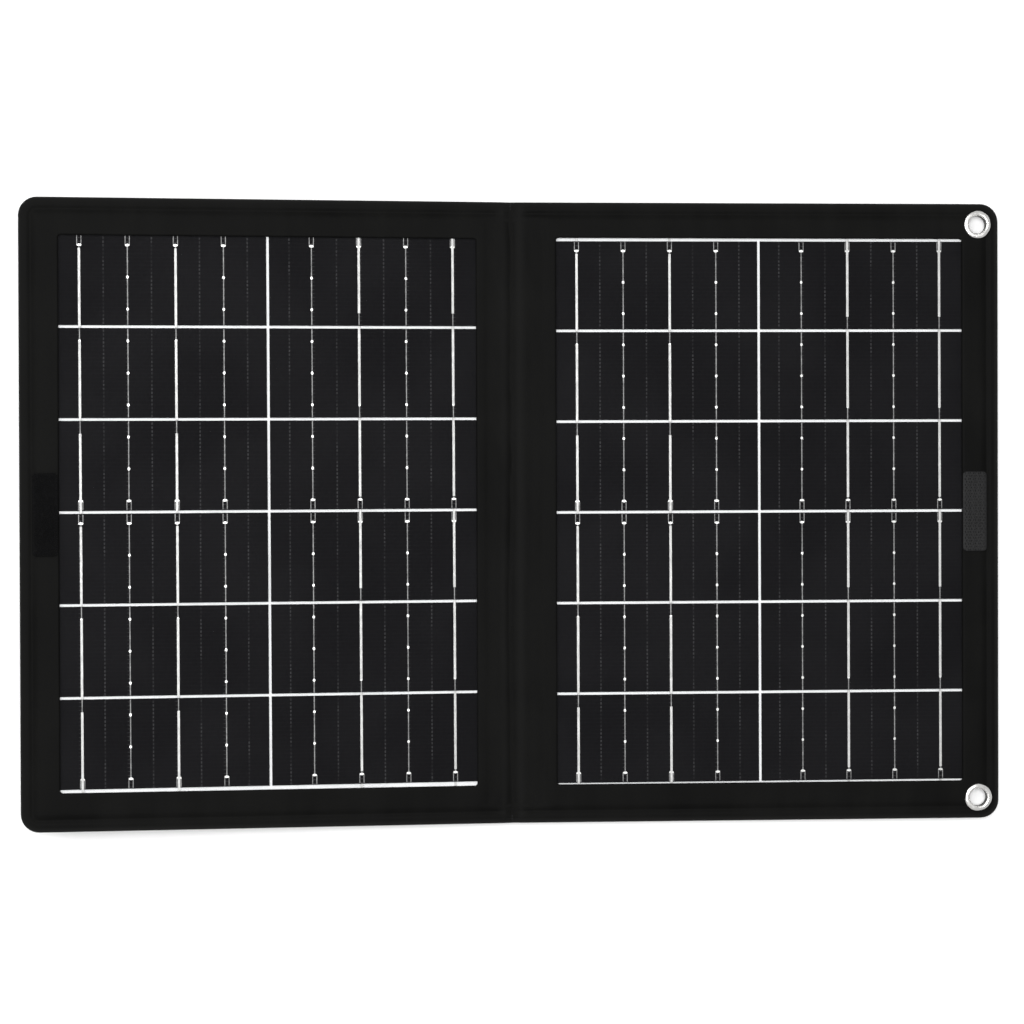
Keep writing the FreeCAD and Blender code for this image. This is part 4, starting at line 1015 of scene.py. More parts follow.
def trough(distance: np.ndarray, width: float) -> np.ndarray:
    """A smooth pressed line: 1 in its middle and next to nothing at its width."""
    return np.exp(-(distance / (width / 2)) ** 2 * 1.6)


def ramp(value: np.ndarray, start: float, run: float) -> np.ndarray:
    """0 up to a start, then a straight rise to 1 over a run."""
    return np.clip((value - start) / run, 0, 1)


def eased(share: np.ndarray) -> np.ndarray:
    """A share from 0 to 1, with a gentle start and end."""
    return share * share * (3 - 2 * share)


@dataclass(frozen=True)
class Groove:
    """A soft line in cloth: how far off it lies, how wide and how deep, negative if raised."""

    offset: float
    width: float
    depth: float

    def at(self, distance: np.ndarray) -> np.ndarray:
        """How far the groove sinks the cloth at each distance."""
        return self.depth * np.exp(-((distance - self.offset) / self.width) ** 2)


# ---------------------------------------------------------------- the covers


@dataclass
class Covers:
    """The front and back cover: two sheets pressed together along the rim and the spine."""

    corner: float = 6.3
    rim: float = 4.0
    spine_half: float = 9.0
    window_near: float = 14.0
    window_outer: float = 13.0
    window_end: float = 13.0
    window_corner: float = 0.9
    window_shift: dict[Wing, float] = field(
        default_factory=lambda: {Wing.RIGHT: 0.2, Wing.LEFT: -0.3})
    window_rise: dict[Wing, float] = field(
        default_factory=lambda: {Wing.RIGHT: 0.7, Wing.LEFT: 0.2})
    window_overcut: dict[Wing, float] = field(
        default_factory=lambda: {Wing.RIGHT: 0.5, Wing.LEFT: 0.0})
    edge_round: float = 0.38
    window_round: float = 0.62
    line_width: float = 2.0
    line_depth: float = 0.42
    crease_at: float = -1.6
    pan_round: float = 4.0
    wall_run: float = 1.1
    eyelet_hole: float = 3.5
    eyelet_pad: float = 5.3
    hem_at: float = 1.2
    hem_depth: float = 0.1
    board_rim: float = 4.9
    board_side: float = 9.8
    board_step: float = 0.16
    crease: Groove = Groove(0.0, 1.1, 0.5)
    hollow: Groove = Groove(0.0, 3.6, 0.22)
    shoulders: Groove = Groove(4.6, 1.5, -0.14)
    second_fold: Groove = Groove(9.4, 1.6, 0.16)
    back_crease: Groove = Groove(0.0, 1.3, -0.3)
    back_hem_at: float = 1.9
    back_hem_depth: float = 0.18
    cloth: float = 0.9

    def __post_init__(self) -> None:
        """Reads the sizes that the frame settles."""
        front = Extent.of_node("right_front_cover")
        back = Extent.of_node("right_back_cover")
        self.width, self.half_length = front.high[0], front.high[1]
        self.face, self.join = front.high[2], front.low[2]
        self.back = back.low[2]
        self.flange = self.join - self.cloth
        plan = (-self.width, self.width, -self.half_length, self.half_length)
        self.outline = Panel(*plan, self.corner)
        self.eyelets = [Extent.of_node(f"{name}_eyelet").centre[:2] for name in ("upper", "lower")]
        self.windows = {wing: self.window(wing) for wing in Wing}
        self.pans = {wing: self.pan(wing) for wing in Wing}

    def window(self, wing: Wing) -> Panel:
        """The opening over a wing's cells.

        Args:
            wing: The wing.

        Returns:
            The opening's outline.
        """
        shift, rise = self.window_shift[wing], self.window_rise[wing]
        near, far = self.window_near + shift, self.width - self.window_outer + shift
        low, high = sorted((near * wing.value, far * wing.value))
        half = self.half_length - self.window_end
        bottom = rise - half - self.window_overcut[wing]
        return Panel(low, high, bottom, rise + half, self.window_corner, 4)

    def pan(self, wing: Wing) -> Panel:
        """The part of the back cover that stands out round a wing's board.

        Args:
            wing: The wing.

        Returns:
            Its outline.
        """
        low, high = sorted((self.spine_half * wing.value, (self.width - self.rim) * wing.value))
        half = self.half_length - self.rim
        return Panel(low, high, -half, half, self.pan_round)

    def from_eyelets(self, plan: np.ndarray) -> np.ndarray:
        """How far each place of a plan is from the nearer eyelet's middle."""
        return np.minimum(*(np.linalg.norm(plan - centre, axis=1) for centre in self.eyelets))

    def pan_depth(self, plan: np.ndarray) -> np.ndarray:
        """How far inside either pan each place is; the right one gives way to its eyelets."""
        depths = np.maximum(*(pan.depth(plan) for pan in self.pans.values()))
        return np.minimum(depths, self.from_eyelets(plan) - self.eyelet_pad)

    def window_depth(self, plan: np.ndarray) -> np.ndarray:
        """How far inside either window each place is, negative outside."""
        return np.maximum(*(window.depth(plan) for window in self.windows.values()))

    def front_level(self, plan: np.ndarray) -> np.ndarray:
        """The level of the front cover's face.

        Args:
            plan: Places on the cover, one a row.

        Returns:
            A level for each.
        """
        x, y = plan[:, 0], plan[:, 1]
        depth, beside = self.outline.depth(plan), -self.window_depth(plan)
        level = np.full(len(plan), self.face)
        level -= rounded_drop(depth, self.edge_round)
        level -= rounded_drop(beside, self.window_round)
        unbroken = ramp(np.abs(x - self.crease_at), 2.0, 3.0)
        level -= self.line_depth * trough(depth - self.rim, self.line_width) * unbroken
        level -= self.hem_depth * trough(depth - self.hem_at, 1.6)
        over_board = np.minimum(depth - self.board_rim, np.abs(x) - self.board_side)
        off_board = 1 - eased(ramp(over_board, 0.0, 1.4))
        level -= self.board_step * off_board * ramp(depth, 0.4, 1.0)
        wander = 0.35 * np.sin(y / 31) + 0.2 * np.sin(y / 13 + 1)
        across = x - self.crease_at - wander
        level -= self.crease.at(across) + self.hollow.at(across)
        level -= self.shoulders.at(np.abs(across))
        level -= self.second_fold.at(x - wander) * (0.6 - 0.4 * y / self.half_length)
        calm = ramp(depth, 1.0, 4.0) * ramp(beside, 0.5, 3.0)
        calm = calm * ramp(self.from_eyelets(plan), 5.5, 4.0)
        swell = Ripple(0.07, 9.0, 34.0, 11).at(plan) + Ripple(0.025, 3.5, 8.0, 12).at(plan)
        puckers = Ripple(0.1, 4.0, 11.0, 13).at(plan * (1.0, 0.35)) * np.exp(-(x / 11) ** 2)
        return level + (swell + puckers) * calm

    def back_level(self, plan: np.ndarray) -> np.ndarray:
        """The level of the back cover's outer side.

        Args:
            plan: Places on the cover, one a row.

        Returns:
            A level for each.
        """
        depth, inside = self.outline.depth(plan), self.pan_depth(plan)
        wall = eased(ramp(inside, -WALL_LEAD, self.wall_run))
        level = self.flange + (self.back - self.flange) * wall
        level += rounded_drop(depth, self.edge_round)
        level += self.back_hem_depth * trough(depth - self.back_hem_at, 1.0) * (1 - wall)
        level -= self.back_crease.at(plan[:, 0] - self.crease_at) * (1 - wall)
        calm = ramp(depth, 1.5, 3.0) * ramp(self.from_eyelets(plan), 5.2, 3.0)
        swell = np.abs(Ripple(0.09, 16.0, 60.0, 21).at(plan)) + 0.03
        return level + swell * calm * ramp(inside, 1.2, 6.0)

    def front_cutting(self) -> Cutting:
        """The front cover in plan.

        Returns:
            The cut sheet, with its windows and eyelet holes.
        """
        cut = Cutting(self.outline)
        rolled = [step * self.edge_round for step in ROUND_STEPS]
        pressed = [self.rim + share * self.line_width for share in LINE_STEPS]
        for inset in (*rolled, 0.8, 1.2, 1.7, 2.2, *pressed, 6.2):
            cut.guide(self.outline.loop(inset, 3.0))
        for window in self.windows.values():
            for step in (*ROUND_STEPS, 1.8, 3.2):
                cut.guide(window.loop(-step * self.window_round, 3.0))
            cut.holes.append(lambda plan, window=window: window.depth(plan) > 0)
        self.cut_eyelets(cut, (self.eyelet_hole, self.eyelet_hole + 0.7, self.eyelet_pad))

        def open_field(plan: np.ndarray) -> np.ndarray:
            """Where the cover has no guide lines of its own."""
            clear = (self.outline.depth(plan) > 7.2) & (self.window_depth(plan) < -2.8)
            return clear & (self.from_eyelets(plan) > 6.5)

        cut.lattice((2.5, 2.5), lambda plan: open_field(plan) & (np.abs(plan[:, 0]) > 12.5))
        self.spine_columns(cut, 6.6, 11.6)
        return cut

    def spine_columns(self, cut: Cutting, rim: float, half: float) -> None:
        """Closes up the points along the spine, and those of the rim where it crosses it.

        Args:
            cut: The sheet that is cut.
            rim: How far in from the edge the spine's own points start.
            half: How far they reach to either side.
        """
        cut.lattice((0.6, 2.4), lambda plan: (self.outline.depth(plan) > rim) & (np.abs(plan[:, 0]) < half))
        reach = np.arange(-11.4, 11.5, 0.6)
        for inset in (0.05, 0.25, 1.0, 1.9, 2.9, 3.5, 4.0, 4.5, 5.2):
            for side in (-1, 1):
                row = np.full(len(reach), side * (self.half_length - inset))
                cut.scatter(np.stack([reach, row], 1))

    def cut_eyelets(self, cut: Cutting, radii: Sequence[float]) -> None:
        """Adds rings of guide lines round the eyelets, and the holes for their barrels.

        Args:
            cut: The sheet that is cut.
            radii: The rings' radii.
        """
        for centre in self.eyelets:
            for radius in radii:
                cut.guide(ellipse(centre, (radius, radius), 40))
        cut.holes.append(lambda plan: self.from_eyelets(plan) < self.eyelet_hole * 0.995)

    def back_cutting(self) -> Cutting:
        """The back cover in plan.

        Returns:
            The cut sheet, with its eyelet holes.
        """
        cut = Cutting(self.outline)
        rolled = [step * self.edge_round for step in ROUND_STEPS]
        for inset in (*rolled, 0.9, 1.3, 1.6, 1.9, 2.2, 2.5, 2.9):
            cut.guide(self.outline.loop(inset, 4.0))
        wall = [share * self.wall_run - WALL_LEAD for share in WALL_STEPS]
        for pan in self.pans.values():
            for inset in wall:
                cut.guide(pan.loop(inset, 4.0))
        self.cut_eyelets(cut, (self.eyelet_hole, *(self.eyelet_pad + inset for inset in wall[1:])))

        def open_field(plan: np.ndarray) -> np.ndarray:
            """Where the cover has no guide lines of its own."""
            return self.pan_depth(plan) > 3.0

        cut.lattice((4.0, 4.0), open_field)
        self.spine_columns(cut, 3.6, 8.6)
        return cut

    def finish(self, side: str, stock: Stock) -> tuple[bpy.types.Object, np.ndarray]:
        """Turns a cut sheet into the cover that takes the place of two frame nodes.

        Args:
            side: The side that it covers, front or back.
            stock: The sheet.

        Returns:
            The cover, and the plan of its points.
        """
        fabric = f"{side}_cover_fabric"
        cover = stock.piece(f"{side}_cover", [fabric], FOLD.soft, 50)
        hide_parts(f"right_{side}_cover", f"left_{side}_cover")
        return cover, np.concatenate(stock.points)[:, :2]

    def rubbed_edge(self, plan: np.ndarray) -> np.ndarray:
        """How worn a cover is by its nearness to the edge, from 0 to 1."""
        return np.exp(-np.clip(self.outline.depth(plan), 0, None) / 0.5)

    def build_front(self) -> bpy.types.Object:
        """Makes the front cover.

        Returns:
            The cover.
        """
        stock = Stock()
        self.front_cutting().sheet(stock, self.front_level,
                                   lambda plan: np.full(len(plan), self.join + BOND))
        cover, plan = self.finish("front", stock)
        window = np.exp(-np.abs(self.window_depth(plan)) / 0.35) * 0.03
        crease = np.exp(-(np.abs(plan[:, 0] - self.crease_at) - 3.0) ** 2 / 2.0) * 0.1
        set_wear(cover, np.clip(np.maximum(np.maximum(self.rubbed_edge(plan) * 0.55, window), crease), 0, 1))
        return cover

    def build_back(self) -> bpy.types.Object:
        """Makes the back cover.

        Returns:
            The cover.
        """
        stock = Stock()

        def inner(plan: np.ndarray) -> np.ndarray:
            """The level of the side against the board."""
            return np.minimum(self.back_level(plan) + self.cloth, self.join - BOND)

        self.back_cutting().sheet(stock, inner, self.back_level)
        cover, plan = self.finish("back", stock)
        corner = np.exp(-np.abs(self.pan_depth(plan) - 0.9) / 0.4) * 0.35
        set_wear(cover, np.maximum(self.rubbed_edge(plan) * 0.5, corner))
        return cover

    def build(self) -> None:
        """Makes both covers, bent at the spine as they lie at rest, and bakes their placing."""
        size = (2 * self.width * MM, 2 * self.half_length * MM)
        whole = size[0] * size[1]
        openings = sum(4 * window.half[0] * window.half[1] * MM * MM for window in self.windows.values())
        front, back = self.build_front(), self.build_back()
        cut = max(whole - openings, whole * 0.3001)
        for cover, area in ((front, cut), (back, whole)):
            FOLD.hang(cover)


# ---------------------------------------------------------------- the cells


@dataclass(frozen=True)
class Strip:
    """One cell strip where it lies: a corner, and its sides as vectors."""

    corner: np.ndarray
    across: np.ndarray
    along: np.ndarray
    width: float
    height: float
    top: float

    def spot(self, x: float, y: float) -> np.ndarray:
        """A place on the strip, measured from its lower left corner, in plan."""
        return self.corner + self.across * x + self.along * y


@dataclass
class CellField:
    """The strips of one wing, with the silver printed on them."""

    wing: Wing
    bar_inset: float = 9.5
    bar_pitch: float = 16.3
    bars: int = 4
    bar_width: float = 0.34
    print_height: float = 0.022
    rows_in_half: int = 3
    pads_in_half: int = 9
    fork_depth: float = 3.4
    fork_gap: float = 0.72
    fork_start: float = 0.25
    tine_width: float = 0.26
    bar_end: float = 0.15
    end_pad: tuple[float, float] = (0.78, 0.42)
    pad: tuple[float, float] = (0.42, 0.52)
    pad_height: float = 0.05
    pad_margin: float = 0.6

    def __post_init__(self) -> None:
        """Finds the strips in the frame's cell node."""
        self.strips = self.find_strips()
        extent = Extent.of_node(f"{self.wing.key}_cells", self.wing)
        self.centre = float(extent.centre[0])
        self.half_width = float(extent.size[0] / 2)

    def find_strips(self) -> list[list[Strip]]:
        """Finds the strips by the faces at the top of the cell node.

        Returns:
            The strips in rows from the top, each row from its left.
        """
        node = f"{self.wing.key}_cells"
        points = node_points(node, self.wing)
        level = points[:, 2].max() - 0.01
        made = bmesh.new()
        made.from_mesh(frame["nodes"][node].data)
        made.verts.ensure_lookup_table()
        seen: set[int] = set()
        found = []
        for vertex in made.verts:
            if vertex.index in seen:
                continue
            island, edge = [], [vertex]
            seen.add(vertex.index)
            while edge:
                here = edge.pop()
                island.append(here.index)
                for link in here.link_edges:
                    other = link.other_vert(here)
                    if other.index not in seen:
                        seen.add(other.index)
                        edge.append(other)
            if points[island][:, 2].min() > level:
                found.append(points[island])
        made.free()
        found.sort(key=lambda part: -part[:, 1].mean())
        rows = [found[i:i + 2] for i in range(0, len(found), 2)]
        for row in rows:
            row.sort(key=lambda part: part[:, 0].mean())
        return [[self.strip(part) for part in row] for row in rows]

    @staticmethod
    def strip(points: np.ndarray) -> Strip:
        """Measures a strip.

        Args:
            points: Its top corners.

        Returns:
            Where it lies and how large it is.
        """
        plan = points[:, :2]
        lower_left = plan[np.argmin(plan.sum(1))]
        lower_right = plan[np.argmax(plan[:, 0] - plan[:, 1])]
        upper_left = plan[np.argmin(plan[:, 0] - plan[:, 1])]
        width = float(np.linalg.norm(lower_right - lower_left))
        height = float(np.linalg.norm(upper_left - lower_left))
        across, along = (lower_right - lower_left) / width, (upper_left - lower_left) / height
        return Strip(lower_left, across, along, width, height, float(points[:, 2].max()))

    def bar_places(self, strip: Strip, column: int) -> list[float]:
        """How far each busbar is from the strip's left side, the outermost one first."""
        places = [self.bar_inset + self.bar_pitch * number for number in range(self.bars)]
        return [strip.width - place for place in places] if column else places

    def print_strip(self, stock: Stock, strip: Strip, row: int, column: int) -> None:
        """Prints one strip: its busbars, the pads along them, and forks at a wafer's ends.

        Args:
            stock: Where the silver goes.
            strip: The strip.
            row: Its row, from the top.
            column: Its column, from the left.
        """
        place = row % self.rows_in_half
        top_end, bottom_end = place == 0, place == self.rows_in_half - 1
        row_pitch = float(self.strips[0][0].corner[1] - self.strips[1][0].corner[1])
        above = place * row_pitch
        length = strip.height + (self.rows_in_half - 1) * row_pitch
        step = (length - 2 * self.fork_depth) / (self.pads_in_half - 1)
        high = strip.top + self.print_height

        def on_strip(outline: np.ndarray) -> np.ndarray:
            """Takes a plan on the strip to the wing's plan."""
            return np.array([strip.spot(*point) for point in outline])

        for x in self.bar_places(strip, column):
            low_y = self.fork_depth if bottom_end else self.bar_end
            high_y = strip.height - (self.fork_depth if top_end else self.bar_end)
            half = self.bar_width / 2
            bar = np.array([(x - half, low_y), (x + half, low_y), (x + half, high_y), (x - half, high_y)])
            stock.plate(on_strip(bar), strip.top, high)
            for number in range(self.pads_in_half):
                y = strip.height - (self.fork_depth + number * step - above)
                end = number in (0, self.pads_in_half - 1)
                if self.pad_margin < y < strip.height - self.pad_margin:
                    outline = ellipse((x, y), self.end_pad if end else self.pad)
                    stock.plate(on_strip(outline), strip.top, high + self.pad_height, paint=1)
            for present, edge, way in ((top_end, strip.height, -1), (bottom_end, 0.0, 1)):
                if present:
                    self.print_fork(stock, strip, x, edge, way, high)

    def print_fork(self, stock: Stock, strip: Strip, x: float, edge: float, way: int, high: float) -> None:
        """Prints the two tines that a busbar splits into at the end of a wafer.

        Args:
            stock: Where the silver goes.
            strip: The strip that they are on.
            x: The busbar's place across it.
            edge: The wafer's end, along it.
            way: 1 if the tines run up from the end, and -1 if down.
            high: The level of their face.
        """
        for side in (-1, 1):
            near = x + side * (self.fork_gap - self.tine_width / 2)
            far = x + side * (self.fork_gap + self.tine_width / 2)
            start, end = edge + way * self.fork_start, edge + way * self.fork_depth
            corners = [(near, start), (far, start), (far, end), (near, end)]
            outline = np.array([strip.spot(*corner) for corner in corners])
            if side * way > 0:
                outline = outline[::-1]
            stock.plate(outline, strip.top, high)

    def build(self) -> None:
        """Prints every strip and dresses the wing's cells."""
        stock = Stock()
        for row, strips in enumerate(self.strips):
            for column, strip in enumerate(strips):
                self.print_strip(stock, strip, row, column)
        name = f"{self.wing.key}_cell_print"
        silver = stock.piece(name, ["printed_silver", "solder_pad"], FOLD.laid(self.wing))
        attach(silver, self.wing.body)
        finish = Silicon(self.wing, self.centre, self.half_width, self.bar_inset, self.bar_pitch)
        FINISHES.dress_node(f"{self.wing.key}_cells", finish.make())


# ---------------------------------------------------------------- leads, eyelets, closure


@dataclass
class CrossingLeads:
    """The flat leads that join the wings, whole across the crease so that they can bend."""

    cuts: int = 28
    gap: float = 0.5

    def build(self) -> None:
        """Copies both halves, closes them at the crease and cuts them fine enough to bend."""
        made = bmesh.new()
        for wing in Wing:
            before = len(made.verts)
            made.from_mesh(frame["nodes"][f"{wing.key}_leads"].data)
            made.verts.ensure_lookup_table()
            fresh = made.verts[before:]
            flat = FOLD.flat(np.array([vertex.co for vertex in fresh]) / MM, wing)
            flat[np.abs(flat[:, 0]) < self.gap, 0] = 0.0
            for vertex, point in zip(fresh, flat):
                vertex.co = point
        bmesh.ops.remove_doubles(made, verts=made.verts, dist=0.01)
        bridge = [face for face in made.faces if all(abs(vertex.co.x) < 1e-4 for vertex in face.verts)]
        bmesh.ops.delete(made, geom=bridge, context="FACES_ONLY")
        for x in np.linspace(-FOLD.reach - 1, FOLD.reach + 1, self.cuts):
            everything = [*made.verts, *made.edges, *made.faces]
            bmesh.ops.bisect_plane(made, geom=everything, plane_co=(x, 0, 0), plane_no=(1, 0, 0))
        made.verts.ensure_lookup_table()
        made.verts.index_update()
        stock = Stock()
        points = np.array([vertex.co for vertex in made.verts])
        stock.add(points, [[vertex.index for vertex in face.verts] for face in made.faces])
        made.free()
        leads = stock.piece("crossing_leads", ["flat_lead"], FOLD.soft)
        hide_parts("right_leads", "left_leads")
        FOLD.hang(leads)


@dataclass
class Eyelets:
    """Pressed metal eyelets: a rolled flange in front, a barrel, and a crimped edge behind."""

    steps: int = 112
    bore: float = 3.1
    barrel: float = 3.45
    lip: float = 0.5
    roll: tuple[float, float] = (0.78, 0.72)
    crimp: float = 0.8
    seed: int = 5

    def profile(self, extent: Extent, face: float) -> np.ndarray:
        """The eyelet's section.

        Args:
            extent: The frame node's extent.
            face: The level of the cloth under the flange.

        Returns:
            Radii and heights, going round once.
        """
        rim = extent.size[0] / 2
        crown, foot = extent.high[2], extent.low[2]
        points = [(self.bore, foot + 0.35), (self.bore, crown - self.lip)]
        for turn in np.linspace(math.pi, math.pi / 2, 6)[1:]:
            out, up = self.lip * math.cos(turn), self.lip * math.sin(turn)
            points.append((self.bore + self.lip + out, crown - self.lip + up))
        wide, tall = self.roll
        for turn in np.linspace(math.pi / 2, 0, 7)[1:]:
            points.append((rim - wide + wide * math.cos(turn), crown - tall + tall * math.sin(turn)))
        points += [(rim - 0.02, face), (self.barrel, face), (self.barrel, foot + 0.42)]
        points += [(self.barrel + 0.25, foot + 0.33), (self.barrel + self.crimp - 0.02, foot + 0.34)]
        points += [(self.barrel + self.crimp, foot + 0.12), (self.barrel + 0.3, foot)]
        points.append((self.bore + 0.2, foot + 0.1))
        return np.array(points)

    def build(self, covers: Covers) -> None:
        """Makes both eyelets.

        Args:
            covers: The covers that they clamp.
        """
        chance = np.random.default_rng(self.seed)
        for name in ("upper_eyelet", "lower_eyelet"):
            extent = Extent.of_node(name)
            phases = chance.uniform(0, 2 * math.pi, 4)

            def wobble(turn: float, profile: np.ndarray) -> np.ndarray:
                """How far the pressed ring strays from round.

                Args:
                    turn: The angle round the ring.
                    profile: The points of its section.

                Returns:
                    A change of radius for each point.
                """
                outer = np.clip((profile[:, 0] - 4.0) / 0.9, 0, 1)
                bent = 0.07 * math.sin(2 * turn + phases[0]) + 0.05 * math.sin(3 * turn + phases[1])
                bent += 0.035 * math.sin(7 * turn + phases[2])
                crimp = 0.12 * math.sin(9 * turn + phases[3]) * (profile[:, 1] < covers.flange)
                return outer * (bent - 0.1) + crimp * (profile[:, 0] > self.barrel + 0.5)

            stock = Stock()
            section = self.profile(extent, covers.face + 0.01)
            # The profile's first and last sides, the inside of the barrel, wear eyelet_bore: painted shade
            # inside the bore.
            stock.spin(section, extent.centre[:2], self.steps, wobble, {0: 1, len(section) - 1: 1})
            finishes = ["eyelet_metal", "eyelet_bore"]
            ring = stock.piece(f"pressed_{name}", finishes, lambda points: points, 55)
            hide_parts(name)
            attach(ring, Wing.RIGHT.body)


HOOK = ((0.0, 0.0), (0.02, 0.5), (0.1, 0.82), (0.24, 1.0), (0.4, 0.93), (0.46, 0.74))


@dataclass
class ClosureTape:
    """One half of the hook and loop closure: a woven tape with its field of nylon."""

    wing: Wing
    node: str
    base: float = 0.62
    corner: float = 1.5
    edge_round: float = 0.4
    rib_pitch: float = 1.6
    rib_height: float = 0.03
    thread: float = 0.11
    loop_thread: float = 0.075
    root: float = 0.05
    seed: int = 8

    def __post_init__(self) -> None:
        """Finds where the tape lies, and where its nylon starts and ends."""
        self.extent = Extent.of_node(self.node, self.wing)
        self.foot = self.extent.low[2] + self.base - self.root
        self.top = self.extent.high[2]

    def build_tape(self, finish: str) -> None:
        """Makes the tape with soft edges.

        Args:
            finish: Its finish, which is its slot too.
        """
        (left, near, low), (right, far, _) = self.extent.low, self.extent.high
        outline = Panel(left, right, near, far, self.corner, 6)
        cut = Cutting(outline)
        for step in ROUND_STEPS:
            cut.guide(outline.loop(step * self.edge_round, 1.5))
        axes = [np.arange(a + 0.9, b - 0.8, 0.8) for a, b in zip(self.extent.low[:2], self.extent.high[:2])]
        cut.scatter(np.stack(np.meshgrid(*axes), -1).reshape(-1, 2))

        def face(plan: np.ndarray) -> np.ndarray:
            """The level of the tape's face."""
            ribs = self.rib_height * np.sin(plan[:, 0] * 2 * math.pi / self.rib_pitch)
            return low + self.base + ribs - rounded_drop(outline.depth(plan), self.edge_round)

        stock = Stock()
        cut.sheet(stock, face, lambda plan: np.full(len(plan), low + BOND))
        tape = stock.piece(f"{self.node}_tape", [finish], FOLD.laid(self.wing), 60)
        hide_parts(self.node)
        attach(tape, self.wing.body)

    def spots(self, pitch: Sequence[float], margin: float) -> np.ndarray:
        """Finds places over the tape in staggered rows.

        Args:
            pitch: About how far apart they are, along a row and from row to row.
            margin: How far they stay from the tape's edge.

        Returns:
            The places in plan, one a row.
        """
        low, high = self.extent.low[:2] + margin, self.extent.high[:2] - margin
        counts = [int((b - a) // step) for a, b, step in zip(low, high, pitch)]
        found = []
        for row in range(counts[1] + 1):
            for column in range(counts[0] + 1):
                x = low[0] + (column + 0.25 + 0.5 * (row % 2)) * (high[0] - low[0]) / (counts[0] + 1)
                found.append((x, low[1] + row * (high[1] - low[1]) / counts[1]))
        return np.array(found)

    def finish_field(self, stock: Stock, name: str, finish: str) -> None:
        """Turns a field of hooks or loops into a piece on the wing.

        Args:
            stock: The hooks or loops.
            name: The piece's name.
            finish: Its finish.
        """
        made = stock.piece(name, [finish], FOLD.laid(self.wing), 70)
        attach(made, self.wing.body)

    def build_hooks(self) -> None:
        """Makes the tape with rows of moulded hooks, each row facing the other way."""
        self.build_tape("hook_tape")
        stock = Stock()
        rise = self.top - self.foot - 0.12
        for number, (x, y) in enumerate(self.spots((0.92, 1.0), 0.65)):
            way = 1 if number % 2 else -1
            path = [(x + way * 0.1, y + way * (reach - 0.2), self.foot + up * rise) for reach, up in HOOK]
            stock.tube(np.array(path), self.thread)
        self.finish_field(stock, "hook_field", "hook_nylon")

    def build_loops(self) -> None:
        """Makes the tape with a brushed pile of small loops."""
        self.build_tape("loop_tape")
        stock = Stock()
        chance = np.random.default_rng(self.seed)
        for x, y in self.spots((0.62, 0.66), 0.4):
            turn = chance.uniform(0, math.pi)
            lean = chance.uniform(-0.35, 0.35, 2)
            reach = chance.uniform(0.3, 0.5)
            rise = (self.top - self.foot - 0.08) * chance.uniform(0.6, 1.0)
            path = []
            for share in np.linspace(0, 1, 7):
                up = math.sin(share * math.pi) ** 0.7
                along = reach * math.cos(share * math.pi) * (1 + 0.35 * up)
                path.append((x + along * math.cos(turn) + lean[0] * up,
                             y + along * math.sin(turn) + lean[1] * up, self.foot + rise * up))
            stock.tube(np.array(path), self.loop_thread, 4)
        self.finish_field(stock, "loop_field", "loop_nylon")


@dataclass
class Controller:
    """The charge controller's own small fittings that aren't frame nodes: gilt contacts."""

    wing: Wing = Wing.LEFT
    thickness: float = 0.08

    def contacts(self, stock: Stock, node: str, count: int, pitch: float, width: float,
                 faces: Sequence[int]) -> None:
        """Lays contacts along a tongue.

        Args:
            stock: Where they go.
            node: The tongue.
            count: How many there are in a row.
            pitch: How far apart they are.
            width: How wide each one is.
            faces: 1 for the tongue's upper face and -1 for its lower one.
        """
        tongue = Extent.of_node(node, self.wing)
        middle = tongue.centre[1]
        start, end = tongue.low[0] + 0.35, tongue.high[0] - tongue.size[0] * 0.12
        for number in range(count):
            y = middle + (number - (count - 1) / 2) * pitch
            outline = Panel(start, end, y - width / 2, y + width / 2, width * 0.3, 3).loop(0.0, 3.0)
            for face in faces:
                level = tongue.high[2] if face > 0 else tongue.low[2]
                low, high = sorted((level - face * 0.02, level + face * self.thickness))
                stock.plate(outline, low, high)

    def build(self) -> None:
        """Makes the contacts of both sockets."""
        stock = Stock()
        self.contacts(stock, "usb_a_tongue", 4, 2.2, 1.1, (1,))
        self.contacts(stock, "usb_c_tongue", 12, 0.5, 0.26, (1, -1))
        gilt = stock.piece("socket_contacts", ["gilt_contact"], FOLD.laid(self.wing))
        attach(gilt, self.wing.body)


# ---------------------------------------------------------------- the studio


@dataclass(frozen=True)
class Softbox:
    """A square soft light that faces the panel: its place and side in metres."""

    name: str
    place: tuple[float, float, float]
    size: float
    power: float

    def build(self) -> None:
        """Hangs the light."""
        data = bpy.data.lights.new(self.name, "AREA")
        data.size, data.energy = self.size, self.power
        lamp = bpy.data.objects.new(self.name, data)
        bpy.context.scene.collection.objects.link(lamp)
        lamp.location = self.place
        lamp.rotation_euler = (-Vector(self.place)).to_track_quat("-Z", "Y").to_euler()


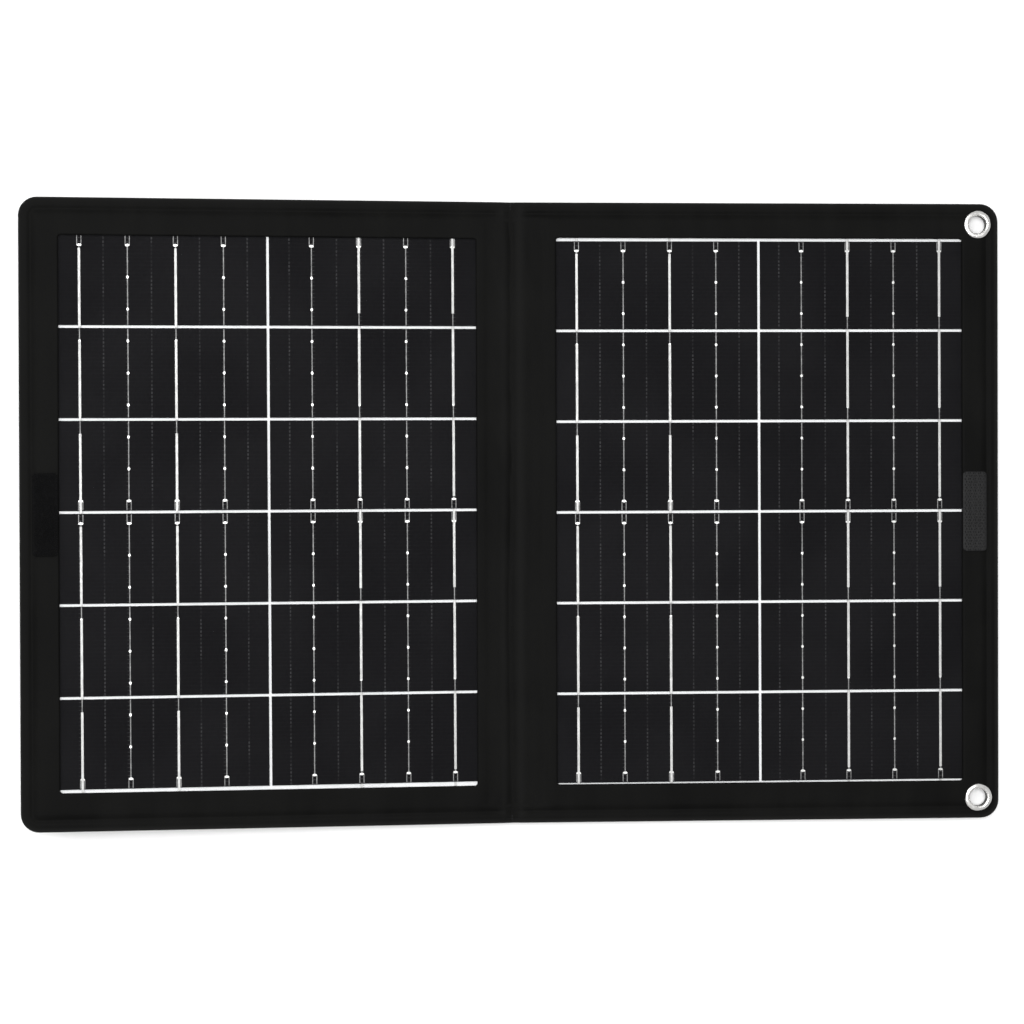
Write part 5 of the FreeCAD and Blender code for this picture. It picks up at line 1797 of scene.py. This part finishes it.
@dataclass
class Studio:
    """A pale floor, soft light and the camera over the panel, with its turns in degrees."""

    LIGHTS = (
        Softbox("key_softbox", (-0.07, 0.09, 1.35), 0.6, 17.0),
        Softbox("side_softbox", (-0.75, 0.6, 1.1), 0.8, 7.0),
    )

    pitch: float = 0.4656
    yaw: float = 3.5514
    roll: float = 0.185
    shift_x: float = 1.477
    shift_y: float = -0.310
    distance: float = 900.0
    sensor: float = 36.0
    lens: float = 90.929
    face_level: float = 5.05
    floor_half: float = 3000.0
    floor_drop: float = 0.05

    def floor(self) -> None:
        """Lays a large pale floor just under the panel."""
        stock = Stock()
        count = 12
        ticks = np.linspace(-self.floor_half, self.floor_half, count + 1)
        plan = np.stack(np.meshgrid(ticks, ticks), -1).reshape(-1, 2)
        points = np.column_stack([plan, np.full(len(plan), -self.floor_drop)])
        across = count + 1
        faces = [(r * across + c, r * across + c + 1, (r + 1) * across + c + 1, (r + 1) * across + c)
                 for r in range(count) for c in range(count)]
        stock.add(points, faces)
        stock.piece("floor", ["pale_floor"], lambda points: points)

    def sky(self) -> None:
        """Surrounds the panel with soft white, dimmer towards the horizon."""
        world = bpy.data.worlds.new("studio")
        bpy.context.scene.world = world
        world.use_nodes = True
        tree = world.node_tree
        tree.nodes.clear()
        place = tree.nodes.new("ShaderNodeTexCoord")
        parts = tree.nodes.new("ShaderNodeSeparateXYZ")
        level = tree.nodes.new("ShaderNodeMapRange")
        level.interpolation_type = "SMOOTHSTEP"
        for name, value in (("From Min", 0.05), ("From Max", 0.75), ("To Min", 0.58), ("To Max", 0.72)):
            level.inputs[name].default_value = value
        light = tree.nodes.new("ShaderNodeBackground")
        output = tree.nodes.new("ShaderNodeOutputWorld")
        tree.links.new(place.outputs["Generated"], parts.inputs[0])
        tree.links.new(parts.outputs["Z"], level.inputs["Value"])
        tree.links.new(level.outputs[0], light.inputs["Strength"])
        tree.links.new(light.outputs[0], output.inputs[0])

    def camera(self) -> None:
        """Sets up the camera over the panel."""
        turns = [math.radians(angle) for angle in (self.pitch, self.yaw, self.roll)]
        turn = Matrix.Rotation(turns[0], 3, "X") @ Matrix.Rotation(turns[1], 3, "Y")
        turn = (turn @ Matrix.Rotation(turns[2], 3, "Z")).transposed()
        place = turn @ Vector((-self.shift_x, -self.shift_y, self.distance))
        place.z += self.face_level
        data = bpy.data.cameras.new("camera")
        data.sensor_width = self.sensor
        data.lens = self.lens
        camera = bpy.data.objects.new("camera", data)
        bpy.context.scene.collection.objects.link(camera)
        camera.matrix_world = Matrix.Translation(place * MM) @ turn.to_4x4()
        bpy.context.scene.camera = camera

    def build(self) -> None:
        """Sets the studio up."""
        self.floor()
        self.sky()
        for light in self.LIGHTS:
            light.build()
        self.camera()
        bpy.context.scene.view_settings.view_transform = "Standard"


def main() -> None:
    """Builds every piece in order and dresses the frame."""
    logging.basicConfig(level=logging.INFO, format="%(name)s: %(message)s")
    Studio().build()
    FINISHES.dress_frame()
    covers = Covers()
    covers.build()
    for wing in Wing:
        CellField(wing).build()
    CrossingLeads().build()
    Eyelets().build(covers)
    ClosureTape(Wing.RIGHT, "hook_patch").build_hooks()
    ClosureTape(Wing.LEFT, "loop_patch").build_loops()
    Controller().build()


if __name__ == "__main__":
    main()
